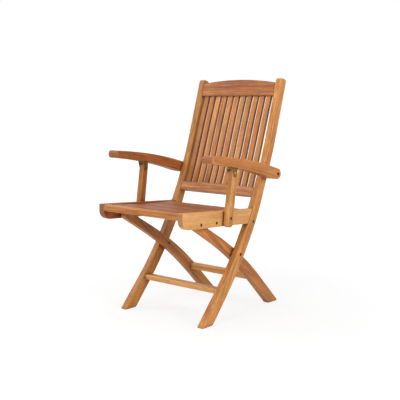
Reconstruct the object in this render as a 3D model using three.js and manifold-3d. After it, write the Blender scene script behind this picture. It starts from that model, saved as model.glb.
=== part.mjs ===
// Folding teak armchair: swept back stiles that run down into the front legs, crossed by sabre
// rear legs, a dished slatted seat, and arms that fold up on leaning posts.
// Millimetres, +Z up. The chair faces -Y. +X is the sitter's left.
// Side outlines are drawn from the toe of the front legs, y to the rear and z up from the floor.

import * as THREE from "three";
import { mergeVertices } from "three/addons/utils/BufferGeometryUtils.js";
import Module from "manifold-3d";

const wasm = await Module();
wasm.setup();

// Clearances
const runGap = 0.3;
const jointGap = 0.25;
const endGap = 0.4;
const linkGap = 0.5;
const armGap = 0.7;
const earGap = 0.35;
const railEndGap = 0.6;
const overCut = 5;
const weldDistance = 0.001;

// Curve fineness
const longSteps = 16;
const searchSteps = 30;
const slatSteps = 8;
const arcSteps = 6;
const roundSides = 12;
const pinSides = 12;
const edgeSteps = 2;
const cornerStepAngle = 32;

// Widths and thicknesses across the chair
const backHalfWidth = 185;
const stileThickness = 27.5;
const railThickness = 25;
const linkThickness = 3;
const legThickness = 26;
const armWidth = 52.5;
const postThickness = 23.8;
const earThickness = 2;

// Feet
const soleHeight = 2;
const glideRadius = 9;
const glidePocket = 3;
const footCorner = 3.2;
const footHeel = 9;

// Stile, swept from front foot to top
const stileLowerAngle = 49.11;
const stileUpperAngle = 73.03;
const stileStraight = 134;
const stileBendRadius = 1624;
const stileLength = 1040;
const stileLowerWidth = 42.5;
const stileUpperWidth = 33;
const stileTaperStart = 440;
const stileTaperEnd = 660;
const stileTopCorner = 9;
const toeFlare = 4;
const toeFlareLength = 260;
const boardEdge = 2.2;

// Pivots on the stile, along its front edge and in from it. The link's is set below the seat.
const crossAlong = 325.7;
const crossDepth = 19.95;
const linkBelowSeat = 42.85;
const linkDepth = 26;
const armAlong = 661.3;
const armDepth = 24.4;

// Rear leg, bowed to pass the crossing
const legBowAngle = 0.774;
const legBendAngle = 13.7;
const legStraight = 137;
const legBendRadius = 1419;
const legTopWidth = 33;
const legFootWidth = 44;

// Rails of the back
const backRailSetback = 1.5;
const topRailHeight = 53.8;
const topRailRise = 13.8;
const topRailThickness = 22;
const topRailLift = 840;
const lowerRailHeight = 32;
const lowerRailThickness = 27;
const lowerRailLift = 452.5;
const railEdge = 2;
const tenonLength = 20;
const tenonThickness = 11;
const tenonShoulder = 7;

// Back slats
const backSlatCount = 11;
const backSlatPitch = 31.9;
const backSlatWidth = 21;
const backSlatThickness = 11;
const backSlatSetback = 6.7;
const backSlatTenon = 8;
const slatEdge = 1.2;

// Seat side rails
const seatHeight = 432.5;
const railOverhang = 106;
const railTopAngle = -3.405;
const railNoseHeight = 28.5;
const railBowReach = 40;
const railFrontDepth = 59;
const railRearDepth = 54;

// Pivots on the seat rail, back from its front end and down from its top edge
const legPivotReach = 98.2;
const legPivotDrop = 44.1;
const seatLinkReach = 184.4;
const seatLinkDrop = 42.5;
const postPivotReach = 233.8;
const postPivotDrop = 25.7;

// Seat slats
const seatSlatCount = 9;
const seatSlatWidth = 30.5;
const seatSlatThickness = 13;
const seatSlatCorner = 3.5;
const seatDish = 5;
const seatHousing = 7;
const seatFrontSpace = 12;
const seatRearSpace = 36;
const frontSlatDepth = 27;
const frontSlatHeight = 26;
const frontSlatNose = 9;
const frontSlatDrop = 1;
const frontSlatSetback = 1;

// Stretchers
const frontStretcherAlong = 169.6;
const frontStretcherInset = 21.5;
const frontStretcherDepth = 34.5;
const frontStretcherHeight = 19.5;
const rearStretcherAlong = 454.2;
const rearStretcherInset = -5;
const rearStretcherDepth = 25;
const rearStretcherHeight = 25.5;
const stretcherCorner = 3;
const stretcherTenonInset = 5;

// Links under the seat
const linkHalfWidth = 8.5;
const linkCollarRadius = 9;

// Arms, measured from their pivots
const armNoseReach = 396.5;
const armNoseRise = 88.2;
const armNoseDepth = 29;
const armTopBend = { reach: 176, rise: 73.5 };
const armUnderBend = { reach: 197.3, rise: 37.8 };
const armBelly = { reach: 40, rise: -12.5 };
const armEndRadius = 20.7;
const armEndLowAngle = -97;
const armEndHighAngle = 73;
const armNoseCorner = 9;
const armInnerCorner = 6;
const armOuterCorner = 12;
const armEdge = 3.2;
const armBoreRadius = 6.8;
const armBoreDepth = 17;

// Posts
const postTopWidth = 26;
const postBottomWidth = 30;
const postTopSet = 3;
const postFoot = 18;
const postHead = 9.5;
const postTopCorner = 2.5;
const postRearCorner = 6;

// Brackets under the arms
const bracketReach = 236.8;
const bracketDrop = 18.986;
const bracketWidth = 27;
const bracketSkirt = 5;
const bracketTipRadius = 8.2;
const bracketTipDrop = 6.5;
const bracketPlate = 2;

// Bolts
const shankRadius = 3;
const headRadius = 5.2;
const headHeight = 3;
const headDome = 1.2;
const headSocket = 1.8;
const socketDepth = 1.5;
const boreRadius = 5.8;
const boreDepth = 5;
const collarRadius = 9.5;
const rivetHeadRadius = 4.2;
const rivetHeadHeight = 1.6;

// Colours and surfaces
const tanTeak = 0xc98347;
const orangeTeak = 0xc77a3a;
const roseTeak = 0xb9805f;
const redTeak = 0xa05f38;
const brownTeak = 0x8f5430;
const agedBrass = 0x8d7f4a;
const darkBrass = 0x4e4328;
const blackPlastic = 0x26211d;
const woodRoughness = 0.6;
const metalRoughness = 0.42;
const plasticRoughness = 0.7;

// Layers side by side, as distances from the chair's middle plane
const stileInner = backHalfWidth;
const stileOuter = stileInner + stileThickness;
const railOuter = stileOuter;
const railInner = railOuter - railThickness;
const linkOuter = stileInner - linkGap;
const linkInner = linkOuter - linkThickness;
const legOuter = linkInner - linkGap;
const legInner = legOuter - legThickness;
const armInner = stileOuter + armGap;
const armOuter = armInner + armWidth;
const armBoltEnd = stileInner + boreDepth;
const postInner = armInner + earThickness + earGap;
const postOuter = postInner + postThickness;
const earInner = postInner - earGap - earThickness;
const earOuter = postOuter + earGap + earThickness;

const chair = new THREE.Group();
const sides = [
  ["left", 1],
  ["right", -1],
];
const radians = THREE.MathUtils.degToRad;

// A solid for cutting and joining, with doubled points welded and flat triangles dropped.
function toSolid(geometry) {
  const bare = geometry.clone();
  bare.deleteAttribute("normal");
  bare.deleteAttribute("uv");
  const welded = mergeVertices(bare, weldDistance);
  const index = welded.index.array;
  const kept = [];
  for (let i = 0; i < index.length; i += 3) {
    const [a, b, c] = [index[i], index[i + 1], index[i + 2]];
    if (a !== b && b !== c && c !== a) kept.push(a, b, c);
  }
  const mesh = new wasm.Mesh({
    numProp: 3,
    vertProperties: new Float32Array(welded.attributes.position.array),
    triVerts: new Uint32Array(kept),
  });
  return new wasm.Manifold(mesh);
}

// The triangles of a finished solid.
function toGeometry(solid) {
  const mesh = solid.getMesh();
  const geometry = new THREE.BufferGeometry();
  geometry.setAttribute("position", new THREE.BufferAttribute(new Float32Array(mesh.vertProperties), 3));
  geometry.setIndex(new THREE.BufferAttribute(new Uint32Array(mesh.triVerts), 1));
  geometry.computeVertexNormals();
  return geometry;
}

// Adds one finished piece with its own material.
function addPiece(name, solid, colour, roughness = woodRoughness, metalness = 0) {
  const material = new THREE.MeshStandardMaterial({ color: colour, roughness, metalness });
  const piece = new THREE.Mesh(toGeometry(solid), material);
  piece.name = name;
  chair.add(piece);
}

// How far a point stands off the straight line between its neighbours.
function standOff(before, point, after) {
  const chord = new THREE.Vector2(after.y - before.y, after.z - before.z);
  const part = new THREE.Vector2(point.y - before.y, point.z - before.z);
  return Math.abs(chord.cross(part)) / chord.length();
}

// Points of the arc of a given radius that rounds the corner between two straight edges.
function cornerArc(before, corner, after, radius) {
  const here = new THREE.Vector2(corner.y, corner.z);
  const back = new THREE.Vector2(before.y, before.z).sub(here).normalize();
  const forth = new THREE.Vector2(after.y, after.z).sub(here).normalize();
  const half = Math.acos(THREE.MathUtils.clamp(back.dot(forth), -1, 1)) / 2;
  const centre = back.clone().add(forth).setLength(radius / Math.sin(half)).add(here);
  const start = back.multiplyScalar(radius / Math.tan(half)).add(here).sub(centre);
  const end = forth.multiplyScalar(radius / Math.tan(half)).add(here).sub(centre);
  const turn = Math.sign(start.cross(end)) * (Math.PI - 2 * half);
  const steps = Math.max(2, Math.ceil(Math.abs(turn) / radians(cornerStepAngle)));
  const origin = new THREE.Vector2();
  const points = [];
  for (let i = 0; i <= steps; i += 1) {
    points.push(start.clone().rotateAround(origin, (turn * i) / steps).add(centre));
  }
  return points;
}

// A closed outline from corner points, each with an optional rounding radius.
function outline(given) {
  const whole = given.length;
  const kept = given.filter((point, i) => {
    const off = standOff(given[(i + whole - 1) % whole], point, given[(i + 1) % whole]);
    return point.round > 0 || off > weldDistance;
  });
  const points = [];
  kept.forEach((point, i) => {
    const before = kept[(i + kept.length - 1) % kept.length];
    const after = kept[(i + 1) % kept.length];
    if (point.round > 0) points.push(...cornerArc(before, point, after, point.round));
    else points.push(new THREE.Vector2(point.y, point.z));
  });
  return new THREE.Shape(points);
}

// A board cut to a side outline, between two distances from the middle plane on one side.
function sideBoard(shape, side, inner, outer, edge = boardEdge) {
  const low = Math.min(side * inner, side * outer);
  const geometry = new THREE.ExtrudeGeometry(shape, {
    depth: outer - inner - 2 * edge,
    bevelEnabled: edge > 0,
    bevelThickness: edge,
    bevelSize: edge,
    bevelOffset: -edge,
    bevelSegments: edgeSteps,
    curveSegments: arcSteps,
  });
  geometry.translate(0, 0, edge);
  const basis = new THREE.Matrix4().makeBasis(
    new THREE.Vector3(0, 1, 0),
    new THREE.Vector3(0, 0, 1),
    new THREE.Vector3(1, 0, 0),
  );
  geometry.applyMatrix4(basis);
  geometry.translate(low, 0, 0);
  return toSolid(geometry);
}

// A bar with a side outline that runs right across the chair.
function crossBar(shape, halfLength, edge = 0) {
  return sideBoard(shape, 1, -halfLength, halfLength, edge);
}

// A round pin or hole parallel to the pivots, between two distances from the middle plane.
function crossPin(at, radius, side, inner, outer) {
  const geometry = new THREE.CylinderGeometry(radius, radius, outer - inner, pinSides);
  geometry.rotateZ(Math.PI / 2);
  geometry.translate(side * ((inner + outer) / 2), at.y, at.z);
  return toSolid(geometry);
}

// A turned fastener. Its profile lists radius and distance from the middle plane, inside first.
function turned(at, side, profile) {
  const points = profile.map(([radius, reach]) => new THREE.Vector2(radius, reach));
  const geometry = new THREE.LatheGeometry(points, roundSides);
  geometry.rotateZ((-side * Math.PI) / 2);
  geometry.translate(0, at.y, at.z);
  return toSolid(geometry);
}

// Profile of a domed bolt head with a small round socket. Its rim stands at the given distance.
function headProfile(seat) {
  return [
    [headRadius, seat],
    [headRadius, seat + headHeight - headDome],
    [headRadius - headDome, seat + headHeight],
    [headSocket, seat + headHeight],
    [headSocket, seat + headHeight - socketDepth],
    [0, seat + headHeight - socketDepth],
  ];
}

// Width of a tapering board at a distance along it.
function easedWidth(startWidth, endWidth, start, end, at) {
  return startWidth + (endWidth - startWidth) * THREE.MathUtils.smoothstep(at, start, end);
}

// Point and heading on a path made of a straight run, one arc and a straight run.
function sweptPoint(origin, startAngle, endAngle, straight, radius, at) {
  const first = radians(startAngle);
  const last = radians(endAngle);
  const turn = Math.sign(last - first);
  const arcLength = radius * Math.abs(last - first);
  const run = Math.min(at, straight);
  const curved = THREE.MathUtils.clamp(at - straight, 0, arcLength);
  const rest = Math.max(at - straight - arcLength, 0);
  const angle = first + (turn * curved) / radius;
  const arcY = turn * radius * (Math.sin(angle) - Math.sin(first));
  const arcZ = turn * radius * (Math.cos(first) - Math.cos(angle));
  return {
    y: origin.y + run * Math.cos(first) + arcY + rest * Math.cos(last),
    z: origin.z + run * Math.sin(first) + arcZ + rest * Math.sin(last),
    angle,
  };
}

// Point on a path moved sideways, to the right of its heading.
function besidePath(point, distance) {
  return {
    y: point.y + distance * Math.sin(point.angle),
    z: point.z - distance * Math.cos(point.angle),
  };
}

// Front edge of the stile, from the toe to the top.
function stileFront(at) {
  return sweptPoint({ y: 0, z: 0 }, stileLowerAngle, stileUpperAngle, stileStraight, stileBendRadius, at);
}

function stileWidth(at) {
  return easedWidth(stileLowerWidth, stileUpperWidth, stileTaperStart, stileTaperEnd, at);
}

// Distance along the stile's front edge at a height above the floor.
function stileAtHeight(height) {
  let low = 0;
  let high = stileLength;
  for (let i = 0; i < searchSteps; i += 1) {
    const middle = (low + high) / 2;
    if (stileFront(middle).z < height) low = middle;
    else high = middle;
  }
  return (low + high) / 2;
}

// A point on the stile, at a distance along its front edge and in from it.
function onStile(at, depth) {
  return besidePath(stileFront(at), depth);
}

// Height of the side rail's top edge.
function railTop(y) {
  return seatHeight + Math.tan(radians(railTopAngle)) * (y + railOverhang);
}

// A point on the seat rail, back from its front end and down from its top edge.
function onRail(reach, drop) {
  const y = reach - railOverhang;
  return { y, z: railTop(y) - drop };
}

const crossPivot = onStile(crossAlong, crossDepth);
const linkPivot = onStile(stileAtHeight(railTopEnd().z) - linkBelowSeat, linkDepth);
const armPivot = onStile(armAlong, armDepth);
const legPivot = onRail(legPivotReach, legPivotDrop);
const seatLinkPivot = onRail(seatLinkReach, seatLinkDrop);
const postPivot = onRail(postPivotReach, postPivotDrop);

// Front edge of the stile's outline, which flares forward toward the toe.
function stileToe(at) {
  return besidePath(stileFront(at), -easedWidth(toeFlare, 0, 0, toeFlareLength, at));
}

function stileOutline() {
  const slope = radians(stileLowerAngle);
  const frontStart = (soleHeight - toeFlare * Math.cos(slope)) / Math.sin(slope);
  const rearStart = (soleHeight + stileLowerWidth * Math.cos(slope)) / Math.sin(slope);
  const points = [];
  for (let i = 0; i <= longSteps; i += 1) {
    const at = THREE.MathUtils.lerp(frontStart, stileLength, i / longSteps);
    const round = i === 0 ? footCorner : i === longSteps ? stileTopCorner : 0;
    points.push({ ...stileToe(at), round });
  }
  for (let i = longSteps; i >= 0; i -= 1) {
    const at = THREE.MathUtils.lerp(rearStart, stileLength, i / longSteps);
    const round = i === 0 ? footHeel : i === longSteps ? stileTopCorner : 0;
    points.push({ ...besidePath(stileFront(at), stileWidth(at)), round });
  }
  return outline(points.reverse());
}

// The rear leg leaves its top pivot a little above the line to the crossing, then bends down.
const legChord = Math.atan2(crossPivot.z - legPivot.z, crossPivot.y - legPivot.y);
const legTopAngle = THREE.MathUtils.radToDeg(legChord) + legBowAngle;
const legFootAngle = legTopAngle - legBendAngle;
const legBendEnd = legStraight + legBendRadius * radians(legBendAngle);

// Middle line of the rear leg, from its top pivot down to the foot.
function legMiddle(at) {
  return sweptPoint(legPivot, legTopAngle, legFootAngle, legStraight, legBendRadius, at);
}

// Distance along the leg's middle line to the floor.
function legFloor() {
  return legBendEnd + (legMiddle(legBendEnd).z - soleHeight) / Math.sin(radians(-legFootAngle));
}

function legOutline() {
  const floorAt = legFloor();
  const slant = legFootWidth / 2 / Math.tan(radians(-legFootAngle));
  const lower = [];
  const upper = [];
  for (let i = 0; i <= longSteps; i += 1) {
    const lowerAt = ((floorAt - slant) * i) / longSteps;
    const upperAt = ((floorAt + slant) * i) / longSteps;
    const lowerHalf = easedWidth(legTopWidth, legFootWidth, 0, legBendEnd, lowerAt) / 2;
    const upperHalf = easedWidth(legTopWidth, legFootWidth, 0, legBendEnd, upperAt) / 2;
    const round = i === longSteps ? footCorner : 0;
    lower.push({ ...besidePath(legMiddle(lowerAt), lowerHalf), round });
    upper.push({ ...besidePath(legMiddle(upperAt), -upperHalf), round });
  }
  const cap = [];
  const around = 2 * arcSteps;
  for (let i = 1; i < around; i += 1) {
    const angle = radians(legTopAngle) + Math.PI / 2 + (Math.PI * i) / around;
    const half = legTopWidth / 2;
    cap.push({ y: legPivot.y + half * Math.cos(angle), z: legPivot.z + half * Math.sin(angle) });
  }
  return outline([...lower, ...upper.reverse(), ...cap]);
}

// A rectangle in the side view with rounded corners, tilted about its middle.
function tiltedRectangle(middle, width, height, tilt, corner) {
  const along = { y: Math.cos(tilt), z: Math.sin(tilt) };
  const signs = [
    [-1, -1],
    [1, -1],
    [1, 1],
    [-1, 1],
  ];
  return outline(
    signs.map(([a, b]) => ({
      y: middle.y + (a * width * along.y - b * height * along.z) / 2,
      z: middle.z + (a * width * along.z + b * height * along.y) / 2,
      round: corner,
    })),
  );
}

// Section of a stretcher, smaller all round by the inset.
function barOutline(bar, inset, corner) {
  return tiltedRectangle(bar.middle, bar.depth - 2 * inset, bar.height - 2 * inset, 0, corner);
}

// A flat panel that stands along the stiles, from its front face backward.
function standingPanel(shape, thickness, foot, edge) {
  const geometry = new THREE.ExtrudeGeometry(shape, {
    depth: thickness - 2 * edge,
    bevelEnabled: edge > 0,
    bevelThickness: edge,
    bevelSize: edge,
    bevelOffset: -edge,
    bevelSegments: edgeSteps,
    curveSegments: 2 * arcSteps,
  });
  geometry.translate(0, 0, edge - thickness);
  const up = new THREE.Vector3(0, Math.cos(foot.angle), Math.sin(foot.angle));
  const front = new THREE.Vector3(0, -Math.sin(foot.angle), Math.cos(foot.angle));
  geometry.applyMatrix4(new THREE.Matrix4().makeBasis(new THREE.Vector3(1, 0, 0), up, front));
  geometry.translate(0, foot.y, foot.z);
  return toSolid(geometry);
}

function panelShape(half, low, high, rise) {
  const shape = new THREE.Shape();
  shape.moveTo(-half, low);
  shape.lineTo(half, low);
  shape.lineTo(half, high);
  if (rise > 0) shape.quadraticCurveTo(0, high + 2 * rise, -half, high);
  else shape.lineTo(-half, high);
  shape.closePath();
  return shape;
}

// Where a back rail's front face starts, just behind the stiles' front edges.
function backRailFoot(lift) {
  const foot = stileFront(stileAtHeight(lift));
  return { ...besidePath(foot, backRailSetback), angle: foot.angle };
}

// A back rail between the stiles with a tenon at each end.
function backRail(lift, height, rise, thickness, grow) {
  const foot = backRailFoot(lift);
  const body = standingPanel(panelShape(stileInner, 0, height, rise), thickness, foot, railEdge);
  return body.add(backRailTenons(lift, height, thickness, grow));
}

// The tenons of a back rail, or with a gap added the mortises that hold them.
function backRailTenons(lift, height, thickness, grow) {
  const foot = backRailFoot(lift);
  const inset = (thickness - tenonThickness) / 2 - grow;
  const start = { ...besidePath(foot, inset), angle: foot.angle };
  const reach = stileInner + tenonLength + grow;
  const shape = panelShape(reach, tenonShoulder - grow, height - tenonShoulder + grow, 0);
  return standingPanel(shape, tenonThickness + 2 * grow, start, 0);
}

// One slat of the back, following the stiles' sweep. A gap makes it the mortise cutter.
function backSlat(number, grow) {
  const start = stileAtHeight(lowerRailLift) + lowerRailHeight - backSlatTenon - grow;
  const end = stileAtHeight(topRailLift) + backSlatTenon + grow;
  const front = backSlatSetback + backRailSetback - grow;
  const rear = front + backSlatThickness + 2 * grow;
  const points = [];
  for (let i = 0; i <= slatSteps; i += 1) {
    points.push(besidePath(stileFront(THREE.MathUtils.lerp(start, end, i / slatSteps)), rear));
  }
  for (let i = slatSteps; i >= 0; i -= 1) {
    points.push(besidePath(stileFront(THREE.MathUtils.lerp(start, end, i / slatSteps)), front));
  }
  const half = backSlatWidth / 2 + grow;
  const slat = crossBar(outline(points), half, grow > 0 ? 0 : slatEdge);
  const place = (number - (backSlatCount - 1) / 2) * backSlatPitch;
  return slat.translate([place, 0, 0]);
}

// Upper rear corner of the side rail, where its top edge meets the stile.
function railTopEnd() {
  let end = stileFront(0);
  for (let i = 0; i < searchSteps; i += 1) end = stileFront(stileAtHeight(railTop(end.y)));
  return { y: end.y - railEndGap, z: end.z };
}

function seatRailOutline() {
  const high = railTopEnd();
  const lowHeight = high.z - railRearDepth;
  const low = stileFront(stileAtHeight(lowHeight));
  const front = -railOverhang;
  const bowEnd = onRail(railBowReach, railFrontDepth);
  const bowStart = seatHeight - railNoseHeight;
  const points = [];
  for (let i = 0; i <= arcSteps; i += 1) {
    const turn = (Math.PI / 2) * (i / arcSteps);
    points.push({
      y: bowEnd.y - railBowReach * Math.cos(turn),
      z: bowStart - (bowStart - bowEnd.z) * Math.sin(turn),
    });
  }
  points.push({ y: low.y - railEndGap, z: lowHeight });
  points.push(high);
  points.push({ y: front, z: seatHeight, round: footCorner });
  return outline(points);
}

// Middle and tilt of one seat slat on the dished surface.
function seatSlatPlace(number) {
  const first = frontSlatSetback + frontSlatDepth + seatFrontSpace - railOverhang;
  const last = railTopEnd().y - seatRearSpace;
  const share = (number + 1 / 2) / seatSlatCount;
  const y = THREE.MathUtils.lerp(first, last, share);
  const across = 2 * share - 1;
  const top = railTop(y) - frontSlatDrop - seatDish * (1 - across * across);
  const tilt = Math.atan(Math.tan(radians(railTopAngle)) + (4 * seatDish * across) / (last - first));
  const half = seatSlatThickness / 2;
  return { y: y + half * Math.sin(tilt), z: top - half * Math.cos(tilt), tilt };
}

function seatSlat(number, grow) {
  const place = seatSlatPlace(number);
  const width = seatSlatWidth + 2 * grow;
  const shape = tiltedRectangle(place, width, seatSlatThickness + 2 * grow, place.tilt, seatSlatCorner);
  return crossBar(shape, railInner + seatHousing - endGap + grow);
}

// Front slat of the seat with a well rounded upper front corner.
function frontSlat(grow) {
  const front = frontSlatSetback - railOverhang - grow;
  const top = seatHeight - frontSlatDrop + grow;
  const rear = front + frontSlatDepth + 2 * grow;
  const low = top - frontSlatHeight - 2 * grow;
  const fall = frontSlatDepth * Math.tan(radians(railTopAngle));
  const shape = outline([
    { y: front, z: low, round: seatSlatCorner },
    { y: rear, z: low, round: seatSlatCorner },
    { y: rear, z: top + fall, round: seatSlatCorner },
    { y: front, z: top, round: frontSlatNose },
  ]);
  return crossBar(shape, railInner + seatHousing - endGap + grow);
}

// A link bar from its eye on the seat to its eye on the stile.
function linkOutline() {
  const heading = Math.atan2(linkPivot.z - seatLinkPivot.z, linkPivot.y - seatLinkPivot.y);
  const points = [];
  const around = 2 * arcSteps;
  for (const [centre, start] of [
    [linkPivot, -Math.PI / 2],
    [seatLinkPivot, Math.PI / 2],
  ]) {
    for (let i = 0; i <= around; i += 1) {
      const angle = heading + start + (Math.PI * i) / around;
      const reach = { y: Math.cos(angle), z: Math.sin(angle) };
      points.push({ y: centre.y + linkHalfWidth * reach.y, z: centre.z + linkHalfWidth * reach.z });
    }
  }
  return outline(points);
}

// A point of the arm, forward of its pivot and above it.
function onArm(place) {
  return { y: armPivot.y - place.reach, z: armPivot.z + place.rise };
}

const armNose = onArm({ reach: armNoseReach, rise: armNoseRise });
const armUnder = [
  { y: armNose.y + armNoseCorner, z: armNose.z - armNoseDepth },
  onArm(armUnderBend),
  onArm(armBelly),
];

// Side outline of an arm: a low arch that thickens toward the round end at its pivot.
function armOutline() {
  const shape = new THREE.Shape();
  const [heel, bend, belly] = armUnder;
  shape.moveTo(armNose.y, heel.z + armNoseCorner);
  shape.quadraticCurveTo(armNose.y, heel.z, heel.y, heel.z);
  shape.quadraticCurveTo(bend.y, bend.z, belly.y, belly.z);
  const steps = 2 * arcSteps;
  for (let i = 0; i <= steps; i += 1) {
    const angle = radians(THREE.MathUtils.lerp(armEndLowAngle, armEndHighAngle, i / steps));
    const reach = { y: armEndRadius * Math.cos(angle), z: armEndRadius * Math.sin(angle) };
    shape.lineTo(armPivot.y + reach.y, armPivot.z + reach.z);
  }
  const top = onArm(armTopBend);
  shape.quadraticCurveTo(top.y, top.z, armNose.y + armNoseCorner, armNose.z);
  shape.quadraticCurveTo(armNose.y, armNose.z, armNose.y, armNose.z - armNoseCorner);
  shape.closePath();
  return shape;
}

// Plan of an arm, with its front corners rounded. It stands upright through the arm.
function armPlan(side) {
  const rear = armPivot.y + armEndRadius + overCut;
  const shape = outline([
    { y: side * armInner, z: rear, round: 0 },
    { y: side * armInner, z: armNose.y, round: armInnerCorner },
    { y: side * armOuter, z: armNose.y, round: armOuterCorner },
    { y: side * armOuter, z: rear, round: 0 },
  ]);
  const low = armPivot.z - armEndRadius - overCut;
  const depth = armNose.z + overCut - low;
  const geometry = new THREE.ExtrudeGeometry(shape, { depth, bevelEnabled: false });
  geometry.translate(0, 0, low);
  return toSolid(geometry);
}

// Height and slope of the arm's underside, on its belly curve.
function armUnderside(y) {
  const [a, b, c] = armUnder;
  const at = (t, key) => (1 - t) * (1 - t) * a[key] + 2 * t * (1 - t) * b[key] + t * t * c[key];
  const slope = (t, key) => (1 - t) * (b[key] - a[key]) + t * (c[key] - b[key]);
  let low = 0;
  let high = 1;
  for (let i = 0; i < searchSteps; i += 1) {
    const middle = (low + high) / 2;
    if (at(middle, "y") < y) low = middle;
    else high = middle;
  }
  return { y, z: at(low, "z"), angle: Math.atan2(slope(low, "z"), slope(low, "y")) };
}

// Where the bracket meets the arm, and its pivot below.
const bracketSeat = armUnderside(armPivot.y - bracketReach);
const bracketPivot = { y: bracketSeat.y, z: bracketSeat.z - bracketDrop };

// Heading of the post, from its foot pivot up to its bracket.
function postHeading() {
  return Math.atan2(bracketPivot.z - postPivot.z, bracketPivot.y - postPivot.y);
}

function postOutline() {
  const heading = postHeading();
  const up = { y: Math.cos(heading), z: Math.sin(heading), angle: heading };
  const base = { y: postPivot.y - postFoot * up.y, z: postPivot.z - postFoot * up.z, angle: heading };
  const head = { y: postHead * up.y, z: postHead * up.z };
  const crown = { y: bracketPivot.y + head.y, z: bracketPivot.z + head.z, angle: heading };
  const points = [];
  const half = postBottomWidth / 2;
  const around = 2 * arcSteps;
  for (let i = 0; i <= around; i += 1) {
    const angle = heading + Math.PI / 2 + (Math.PI * i) / around;
    points.push({ y: base.y + half * Math.cos(angle), z: base.z + half * Math.sin(angle) });
  }
  points.push({ ...besidePath(crown, postTopSet + postTopWidth / 2), round: postRearCorner });
  points.push({ ...besidePath(crown, postTopSet - postTopWidth / 2), round: postTopCorner });
  return outline(points);
}

// A point beside the bracket's middle, along the arm's underside and down from it.
function onBracket(along, down) {
  const { y, z, angle } = bracketSeat;
  return {
    y: y + along * Math.cos(angle) + down * Math.sin(angle),
    z: z + along * Math.sin(angle) - down * Math.cos(angle),
  };
}

// Tongue outline of a bracket, hung from the arm's underside.
function bracketOutline() {
  const half = bracketWidth / 2;
  const steps = 2 * arcSteps;
  const points = [onBracket(-half, -bracketPlate), onBracket(-half, bracketSkirt)];
  for (let i = 0; i <= steps; i += 1) {
    const angle = bracketSeat.angle - Math.PI * (1 - i / steps);
    points.push({
      y: bracketPivot.y + bracketTipRadius * Math.cos(angle),
      z: bracketPivot.z - bracketTipDrop + bracketTipRadius * Math.sin(angle),
    });
  }
  points.push(onBracket(half, bracketSkirt), onBracket(half, -bracketPlate));
  return outline(points);
}

// A bracket: a plate let into the arm and two ears that straddle the post.
function bracket(side) {
  const block = sideBoard(bracketOutline(), side, earInner, earOuter, 0);
  const middle = onBracket(0, bracketWidth);
  const slot = tiltedRectangle(middle, 3 * bracketWidth, 2 * bracketWidth, bracketSeat.angle, 0);
  return block.subtract(sideBoard(slot, side, postInner - earGap, postOuter + earGap, 0));
}

// The pocket in the arm that takes the bracket's plate, open at the arm's inner face.
function bracketPocket(side) {
  const length = bracketWidth + 2 * jointGap;
  const depth = 2 * (bracketPlate + jointGap);
  const shape = tiltedRectangle(bracketSeat, length, depth, bracketSeat.angle, 0);
  return sideBoard(shape, side, armInner - overCut, earOuter + jointGap, 0);
}

// A through bolt with its head sunk in the outer piece and a nut sunk in the inner one.
function throughBolt(at, side, inner, outer, collar) {
  const nutSeat = inner + boreDepth;
  const headSeat = outer - boreDepth;
  const middle = collar
    ? [
        [shankRadius, collar[0] + runGap],
        [collarRadius, collar[0] + runGap],
        [collarRadius, collar[1] - runGap],
        [shankRadius, collar[1] - runGap],
      ]
    : [];
  return turned(at, side, [
    [0, nutSeat - headHeight],
    [headRadius, nutSeat - headHeight],
    [headRadius, nutSeat],
    [shankRadius, nutSeat],
    ...middle,
    [shankRadius, headSeat],
    ...headProfile(headSeat),
  ]);
}

// A bolt that ends just short of the given inner distance.
function shortBolt(at, side, inner, headSeat) {
  return turned(at, side, [
    [0, inner + runGap],
    [shankRadius, inner + runGap],
    [shankRadius, headSeat],
    ...headProfile(headSeat),
  ]);
}

// Cuts a bolt hole through a piece, with a wider bore at the outer or the inner face.
function drilled(piece, at, side, inner, outer, boreOuter, boreInner) {
  let cut = piece.subtract(crossPin(at, shankRadius + runGap, side, inner - overCut, outer + overCut));
  if (boreOuter) cut = cut.subtract(crossPin(at, boreRadius, side, outer - boreDepth, outer + overCut));
  if (boreInner) cut = cut.subtract(crossPin(at, boreRadius, side, inner - overCut, inner + boreDepth));
  return cut;
}

// The middles of the soles.
function glidePlaces() {
  const stileSole = (stileLowerWidth - toeFlare) / Math.sin(radians(stileLowerAngle));
  return {
    front: { x: (stileInner + stileOuter) / 2, y: stileSole / 2 },
    rear: { x: (legInner + legOuter) / 2, y: legMiddle(legFloor()).y },
  };
}

// A glide let into a sole, or with a gap added the pocket that holds it.
function glide(place, side, grow) {
  const height = soleHeight + glidePocket + grow;
  const geometry = new THREE.CylinderGeometry(glideRadius + grow, glideRadius + grow, height, roundSides);
  geometry.rotateX(Math.PI / 2);
  geometry.translate(side * place.x, place.y, height / 2);
  return toSolid(geometry);
}

const frontStretcher = {
  middle: onStile(frontStretcherAlong, frontStretcherInset),
  depth: frontStretcherDepth,
  height: frontStretcherHeight,
};
const rearStretcher = {
  middle: besidePath(legMiddle(rearStretcherAlong), rearStretcherInset),
  depth: rearStretcherDepth,
  height: rearStretcherHeight,
};

function stretcherBar(bar, inner) {
  return crossBar(barOutline(bar, 0, stretcherCorner), inner).add(stretcherTenons(bar, inner, 0));
}

// The tenons of a stretcher, or with a gap added the mortises that hold them.
function stretcherTenons(bar, inner, grow) {
  return crossBar(barOutline(bar, stretcherTenonInset - grow, 0), inner + tenonLength + grow);
}

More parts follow.
